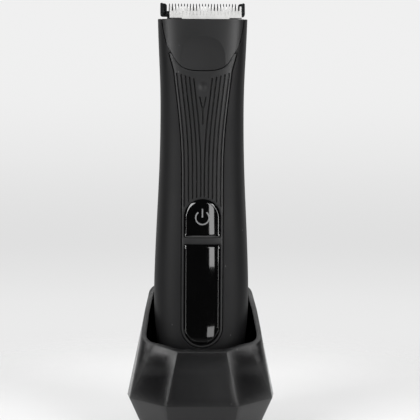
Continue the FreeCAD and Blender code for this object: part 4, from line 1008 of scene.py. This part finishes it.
# %% Finishes: one recipe for all moulded and metal parts
def finish_of(name, dark, light, rough, grain=(4000.0, 0.1, 0.00002), patch_scale=60.0, edge=0.0002,
              metallic=0.0,
              wide=0.0, coat=0.0, coat_rough=0.1, specular=0.5, specks=0.0, lines=False, alpha=None):
    material = bpy.data.materials.new(name)
    material.use_nodes = True
    nodes, links = material.node_tree.nodes, material.node_tree.links
    shader = nodes["Principled BSDF"]
    texture = nodes.new("ShaderNodeGroup")
    texture.node_tree = GRAIN
    texture.inputs["Grain Scale"].default_value, texture.inputs["Patch Scale"].default_value = grain[0], patch_scale
    colour = nodes.new("ShaderNodeMix")
    colour.data_type = "RGBA"
    colour.inputs["A"].default_value, colour.inputs["B"].default_value = (*dark, 1), (*light, 1)
    drift = nodes.new("ShaderNodeMapRange")
    drift.inputs["From Min"].default_value, drift.inputs["From Max"].default_value = 0.3, 0.7
    drift.inputs["To Min"].default_value, drift.inputs["To Max"].default_value = rough
    ramp = nodes.new("ShaderNodeMapRange")
    ramp.inputs["From Min"].default_value, ramp.inputs["From Max"].default_value = 0.3, 0.7
    source = texture.outputs["Patches"]
    if lines:
        ground = nodes.new("ShaderNodeGroup")
        ground.node_tree = BRUSHED
        source = ground.outputs["Lines"]
    links.new(source, ramp.inputs["Value"])
    links.new(source, drift.inputs["Value"])
    links.new(ramp.outputs[0], colour.inputs["Factor"])
    last = colour.outputs["Result"]
    if specks:
        dusted = nodes.new("ShaderNodeMix")
        dusted.data_type = "RGBA"
        dusted.inputs["B"].default_value = (0.35, 0.35, 0.35, 1)
        amount = nodes.new("ShaderNodeMath")
        amount.operation = "MULTIPLY"
        amount.inputs[1].default_value = specks
        links.new(texture.outputs["Specks"], amount.inputs[0])
        links.new(amount.outputs[0], dusted.inputs["Factor"])
        links.new(last, dusted.inputs["A"])
        last = dusted.outputs["Result"]
    links.new(last, shader.inputs["Base Color"])
    links.new(drift.outputs[0], shader.inputs["Roughness"])
    bump = nodes.new("ShaderNodeBump")
    bump.inputs["Strength"].default_value, bump.inputs["Distance"].default_value = grain[1], grain[2]
    links.new(source if lines else texture.outputs["Height"], bump.inputs["Height"])
    if edge:
        soft = nodes.new("ShaderNodeGroup")
        soft.node_tree = ROUNDING
        soft.inputs["Radius"].default_value = edge
        if wide:
            soft.inputs["Wide Radius"].default_value, soft.inputs["Wide Share"].default_value = wide, 0.45
        links.new(soft.outputs["Normal"], bump.inputs["Normal"])
    links.new(bump.outputs["Normal"], shader.inputs["Normal"])
    shader.inputs["Metallic"].default_value = metallic
    shader.inputs["Coat Weight"].default_value = coat
    shader.inputs["Coat Roughness"].default_value = coat_rough
    shader.inputs["Specular IOR Level"].default_value = specular
    shader.inputs["IOR"].default_value = 1.5
    if alpha is not None:
        shader.inputs["Transmission Weight"].default_value = alpha
    return material


FINISH = {
    "dock_black": finish_of("dock_black", (0.0035, 0.0035, 0.0038), (0.007, 0.007, 0.0074), (0.17, 0.24),
                            grain=(3600.0, 0.35, 0.00003), patch_scale=1400.0, edge=0.0004, wide=0.008,
                            specks=0.5),
    "handle_black": finish_of("handle_black", (0.003, 0.003, 0.0034), (0.0055, 0.0055, 0.006), (0.5, 0.6),
                              specular=0.28,
                              grain=(5000.0, 0.25, 0.00002), patch_scale=45.0, edge=0.0003, specks=0.5),
    "panel_black": finish_of("panel_black", (0.009, 0.009, 0.0095), (0.013, 0.013, 0.0135), (0.42, 0.5),
                             grain=(5000.0, 0.2, 0.00002), patch_scale=45.0, edge=0.00015, specks=0.5),
    "gloss_black": finish_of("gloss_black", (0.0008, 0.0008, 0.0009), (0.0014, 0.0014, 0.0015), (0.03, 0.07),
                             grain=(500.0, 0.02, 0.00001), patch_scale=90.0, edge=0.0, coat=1.0,
                             coat_rough=0.02),
    "symbol_grey": finish_of("symbol_grey", (0.17, 0.17, 0.175), (0.26, 0.26, 0.265), (0.3, 0.4), edge=0.0),
    "ceramic_white": finish_of("ceramic_white", (0.60, 0.60, 0.59), (0.68, 0.68, 0.67), (0.16, 0.26),
                               grain=(3000.0, 0.1, 0.00001), patch_scale=300.0, edge=0.00012, coat=0.4),
    "blade_coating": finish_of("blade_coating", (0.035, 0.04, 0.042), (0.07, 0.075, 0.078), (0.24, 0.36),
                               metallic=0.9,
                               grain=(3000.0, 0.15, 0.00002), edge=0.00012, lines=True),
    "steel": finish_of("steel", (0.5, 0.5, 0.52), (0.66, 0.66, 0.68), (0.2, 0.34), metallic=1.0, lines=True,
                       edge=0.00008),
    "brass": finish_of("brass", (0.62, 0.44, 0.16), (0.76, 0.56, 0.24), (0.2, 0.34), metallic=1.0,
                       lines=True, edge=0.00008),
    "contact_gold": finish_of("contact_gold", (0.8, 0.56, 0.2), (0.88, 0.66, 0.28), (0.12, 0.24),
                              metallic=1.0, edge=0.00008),
    "inner_plastic": finish_of("inner_plastic", (0.02, 0.02, 0.022), (0.035, 0.035, 0.037), (0.45, 0.6),
                               specks=0.3),
    "white_plastic": finish_of("white_plastic", (0.62, 0.62, 0.6), (0.7, 0.7, 0.68), (0.35, 0.5)),
    "clear_plastic": finish_of("clear_plastic", (0.85, 0.88, 0.9), (0.92, 0.94, 0.95), (0.05, 0.12),
                               alpha=0.9, edge=0.0),
    "board_green": finish_of("board_green", (0.012, 0.075, 0.03), (0.02, 0.11, 0.045), (0.3, 0.42),
                             patch_scale=500.0),
    "chip_black": finish_of("chip_black", (0.012, 0.012, 0.012), (0.022, 0.022, 0.022), (0.4, 0.55),
                            patch_scale=400.0),
    "cell_wrap": finish_of("cell_wrap", (0.02, 0.07, 0.2), (0.03, 0.09, 0.25), (0.25, 0.35), edge=0.0003),
    "magnet_grey": finish_of("magnet_grey", (0.07, 0.07, 0.075), (0.11, 0.11, 0.115), (0.5, 0.7),
                             metallic=0.4),
    "copper": finish_of("copper", (0.6, 0.27, 0.13), (0.75, 0.36, 0.2), (0.25, 0.4), metallic=1.0,
                        lines=True),
    "rubber_black": finish_of("rubber_black", (0.015, 0.015, 0.015), (0.026, 0.026, 0.026), (0.7, 0.85),
                              grain=(2500.0, 0.5, 0.00005)),
    "ballast_iron": finish_of("ballast_iron", (0.3, 0.3, 0.31), (0.42, 0.42, 0.43), (0.35, 0.5),
                              metallic=0.9),
}
for part in RECORD["subparts"]:
    frame["nodes"][part["node"]].material_slots[0].material = FINISH[part["material_slot"]]
print("finishes:", len(FINISH))

# %% [markdown]
# ## Handing the new pieces to the frame
#
# Each rebuilt piece takes its finish, gets smooth shading with its true creases kept, stands for its
# CAD node, and rides on the same body, so it moves as that node does.

# %% Handing the new pieces to the frame
def hand_over(piece, node, crease=30.0):
    slot = next(p["material_slot"] for p in RECORD["subparts"] if p["node"] == node)
    piece.data.materials.clear()
    piece.data.materials.append(FINISH[slot])
    for face in piece.data.polygons:
        face.material_index = 0
    smooth(piece, crease)
    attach(piece, BODY_OF[node])
    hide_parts(node)


hand_over(front_shell, "front_shell")
hand_over(rear_shell, "rear_shell")
hand_over(front_panel, "front_panel", 40.0)
hand_over(window, "display_window", 40.0)
hand_over(button, "power_button", 40.0)
hand_over(sign, "power_symbol")
hand_over(head_cover, "head_cover")
hand_over(head_base, "head_base")
hand_over(dock_shell, "dock_shell", 12.0)
hand_over(comb, "fixed_blade", 25.0)
hand_over(cutter, "ceramic_cutter", 25.0)

# %% [markdown]
# ## The table, the light and the camera
#
# The groomer stands in a bright white studio. The table is a pale sheet that fades into the
# background, and the room is white behind and at the sides but dark in front, which keeps the glossy
# window nearly black. The background that the camera sees is painted shade: a grey gradient by height,
# darker in a band where a paper sweep would curve. Seven soft boxes give the light.

# %% The table
def make_table():
    rings, count = np.linspace(0, 2600, 40), 96
    points = [(0, 0, 0)] + [(r * math.cos(a), r * math.sin(a),
                             0) for r in rings[1:] for a in 2 * np.pi * np.arange(count) / count]
    faces = [(0, 1 + i, 1 + (i + 1) % count) for i in range(count)]
    for k in range(len(rings) - 2):
        faces += [(1 + k * count + i, 1 + (k + 1) * count + i, 1 + (k + 1) * count + (i + 1) % count,
                   1 + k * count + (i + 1) % count)
                  for i in range(count)]
    return mesh_object("table", points, faces)


table = make_table()
if table.data.polygons[0].normal.z < 0:
    table.data.flip_normals()
sheet = bpy.data.materials.new("white_sheet")
sheet.use_nodes = True
tree = sheet.node_tree
shader = tree.nodes["Principled BSDF"]
shader.inputs["Roughness"].default_value = 0.55
place = add(tree, "ShaderNodeTexCoord")
centred = add(tree, "ShaderNodeVectorMath", {1: (0.0, 0.05, 0.0)}, operation="SUBTRACT")
away = add(tree, "ShaderNodeVectorMath", operation="LENGTH")
far = add(tree, "ShaderNodeMapRange", {"From Min": 0.08, "From Max": 0.20, "To Min": 1.0, "To Max": 0.0},
          interpolation_type="SMOOTHSTEP")
paper = add(tree, "ShaderNodeTexNoise", {"Scale": 18.0})
tone = add(tree, "ShaderNodeMix", data_type="RGBA")
tone.inputs["A"].default_value, tone.inputs["B"].default_value = (0.76, 0.76, 0.76, 1), (0.79, 0.79, 0.79, 1)
wire(tree,
     (place.outputs["Object"], centred.inputs[0]), (centred.outputs[0], away.inputs[0]),
     (place.outputs["Object"], paper.inputs["Vector"]), (paper.outputs["Fac"], tone.inputs["Factor"]),
     (tone.outputs["Result"], shader.inputs["Base Color"]), (away.outputs["Value"], far.inputs["Value"]),
     (far.outputs[0], shader.inputs["Alpha"]))
table.data.materials.append(sheet)

# %% The room
world = bpy.data.worlds.new("white_studio")
bpy.context.scene.world = world
world.use_nodes = True
tree = world.node_tree
seen, lit = tree.nodes["Background"], add(tree, "ShaderNodeBackground", {"Color": (1, 1, 1, 1)})
direction, split = add(tree, "ShaderNodeTexCoord"), add(tree, "ShaderNodeSeparateXYZ")
height = add(tree, "ShaderNodeMapRange", {"From Min": -0.30, "From Max": 0.05})
painted_backdrop = add(tree, "ShaderNodeValToRGB")
depth = add(tree, "ShaderNodeMapRange", {"From Min": -0.2, "From Max": 0.7, "To Min": 0.015, "To Max": 0.75},
            interpolation_type="SMOOTHSTEP")
path, choose = add(tree, "ShaderNodeLightPath"), add(tree, "ShaderNodeMixShader")
# Painted shade: the background seen by the camera is darker in a band across the middle height and lighter above and
# below it, standing in for the shading of a curved paper sweep.
PAINTED_BACKDROP_SHADES = [(0.0, 0.76), (0.257, 0.775), (0.332, 0.835), (0.409, 0.815), (0.447, 0.785), (0.486, 0.76),
          (0.525, 0.735),
          (0.603, 0.765), (0.681, 0.81), (0.798, 0.871), (1.0, 0.871)]
bar = painted_backdrop.color_ramp
bar.interpolation = "B_SPLINE"
while len(bar.elements) < len(PAINTED_BACKDROP_SHADES):
    bar.elements.new(0.5)
for stop, (where, shade) in zip(bar.elements, PAINTED_BACKDROP_SHADES):
    stop.position, stop.color = where, (shade, shade, shade, 1)
wire(tree,
     (direction.outputs["Generated"], split.inputs[0]), (split.outputs["Z"], height.inputs["Value"]),
     (height.outputs[0], painted_backdrop.inputs["Fac"]), (painted_backdrop.outputs["Color"], seen.inputs["Color"]),
     (split.outputs["Y"], depth.inputs["Value"]), (depth.outputs[0], lit.inputs["Strength"]),
     (path.outputs["Is Camera Ray"], choose.inputs[0]), (lit.outputs[0], choose.inputs[1]),
     (seen.outputs[0], choose.inputs[2]), (choose.outputs[0], tree.nodes["World Output"].inputs["Surface"]))


# %% The soft boxes
def soft_box(name, place, aim, width, height, power):
    light = bpy.data.lights.new(name, "AREA")
    light.shape, light.size, light.size_y, light.energy = "RECTANGLE", width, height, power
    lamp = bpy.data.objects.new(name, light)
    bpy.context.collection.objects.link(lamp)
    lamp.location = place
    lamp.rotation_euler = (Vector(aim) - Vector(place)).to_track_quat("-Z", "Y").to_euler()
    lamp.visible_camera = False
    return lamp


soft_box("key_left", (-0.75, -0.75, 0.55), (0, 0, 0.1), 0.5, 0.9, 8.0)
soft_box("key_right", (0.66, -0.80, 0.40), (0, 0, 0.1), 0.42, 0.9, 7.5)
soft_box("overhead", (0.0, 0.1, 1.1), (0, 0, 0.0), 0.9, 0.7, 8.0)
soft_box("strip_left", (-0.84, -0.62, 0.03), (0, 0, 0.06), 0.10, 0.75, 2.2)
soft_box("strip_right", (0.86, -0.60, -0.06), (0, 0, 0.06), 0.10, 0.34, 1.2)
soft_box("front_strip", (0.124, -0.95, 0.085), (0, 0, 0.07), 0.085, 0.21, 0.20)
soft_box("low_glow", (0.092, -0.6, -0.125), (0, 0, 0.045), 0.085, 0.05, 0.03)

# %% The camera
CAMERA_TURN, CAMERA_RISE, CAMERA_AWAY = math.radians(-1.8), math.radians(5.5), 0.6
CAMERA_ROLL = math.radians(0.33)
target = Vector((0.0035, 0.0, 0.0934))
lens = bpy.data.cameras.new("camera")
camera = bpy.data.objects.new("camera", lens)
bpy.context.collection.objects.link(camera)
camera.location = target + CAMERA_AWAY * Vector((math.sin(CAMERA_TURN) * math.cos(CAMERA_RISE),
                                                 -math.cos(CAMERA_TURN) * math.cos(CAMERA_RISE),
                                                 math.sin(CAMERA_RISE)))
aim = (target - camera.location).to_track_quat("-Z", "Y")
camera.rotation_euler = (aim @ Euler((0.0, 0.0, CAMERA_ROLL)).to_quaternion()).to_euler()
lens.sensor_width, lens.lens = 36.0, 125.0
bpy.context.scene.camera = camera
bpy.context.scene.view_settings.view_transform = "Standard"
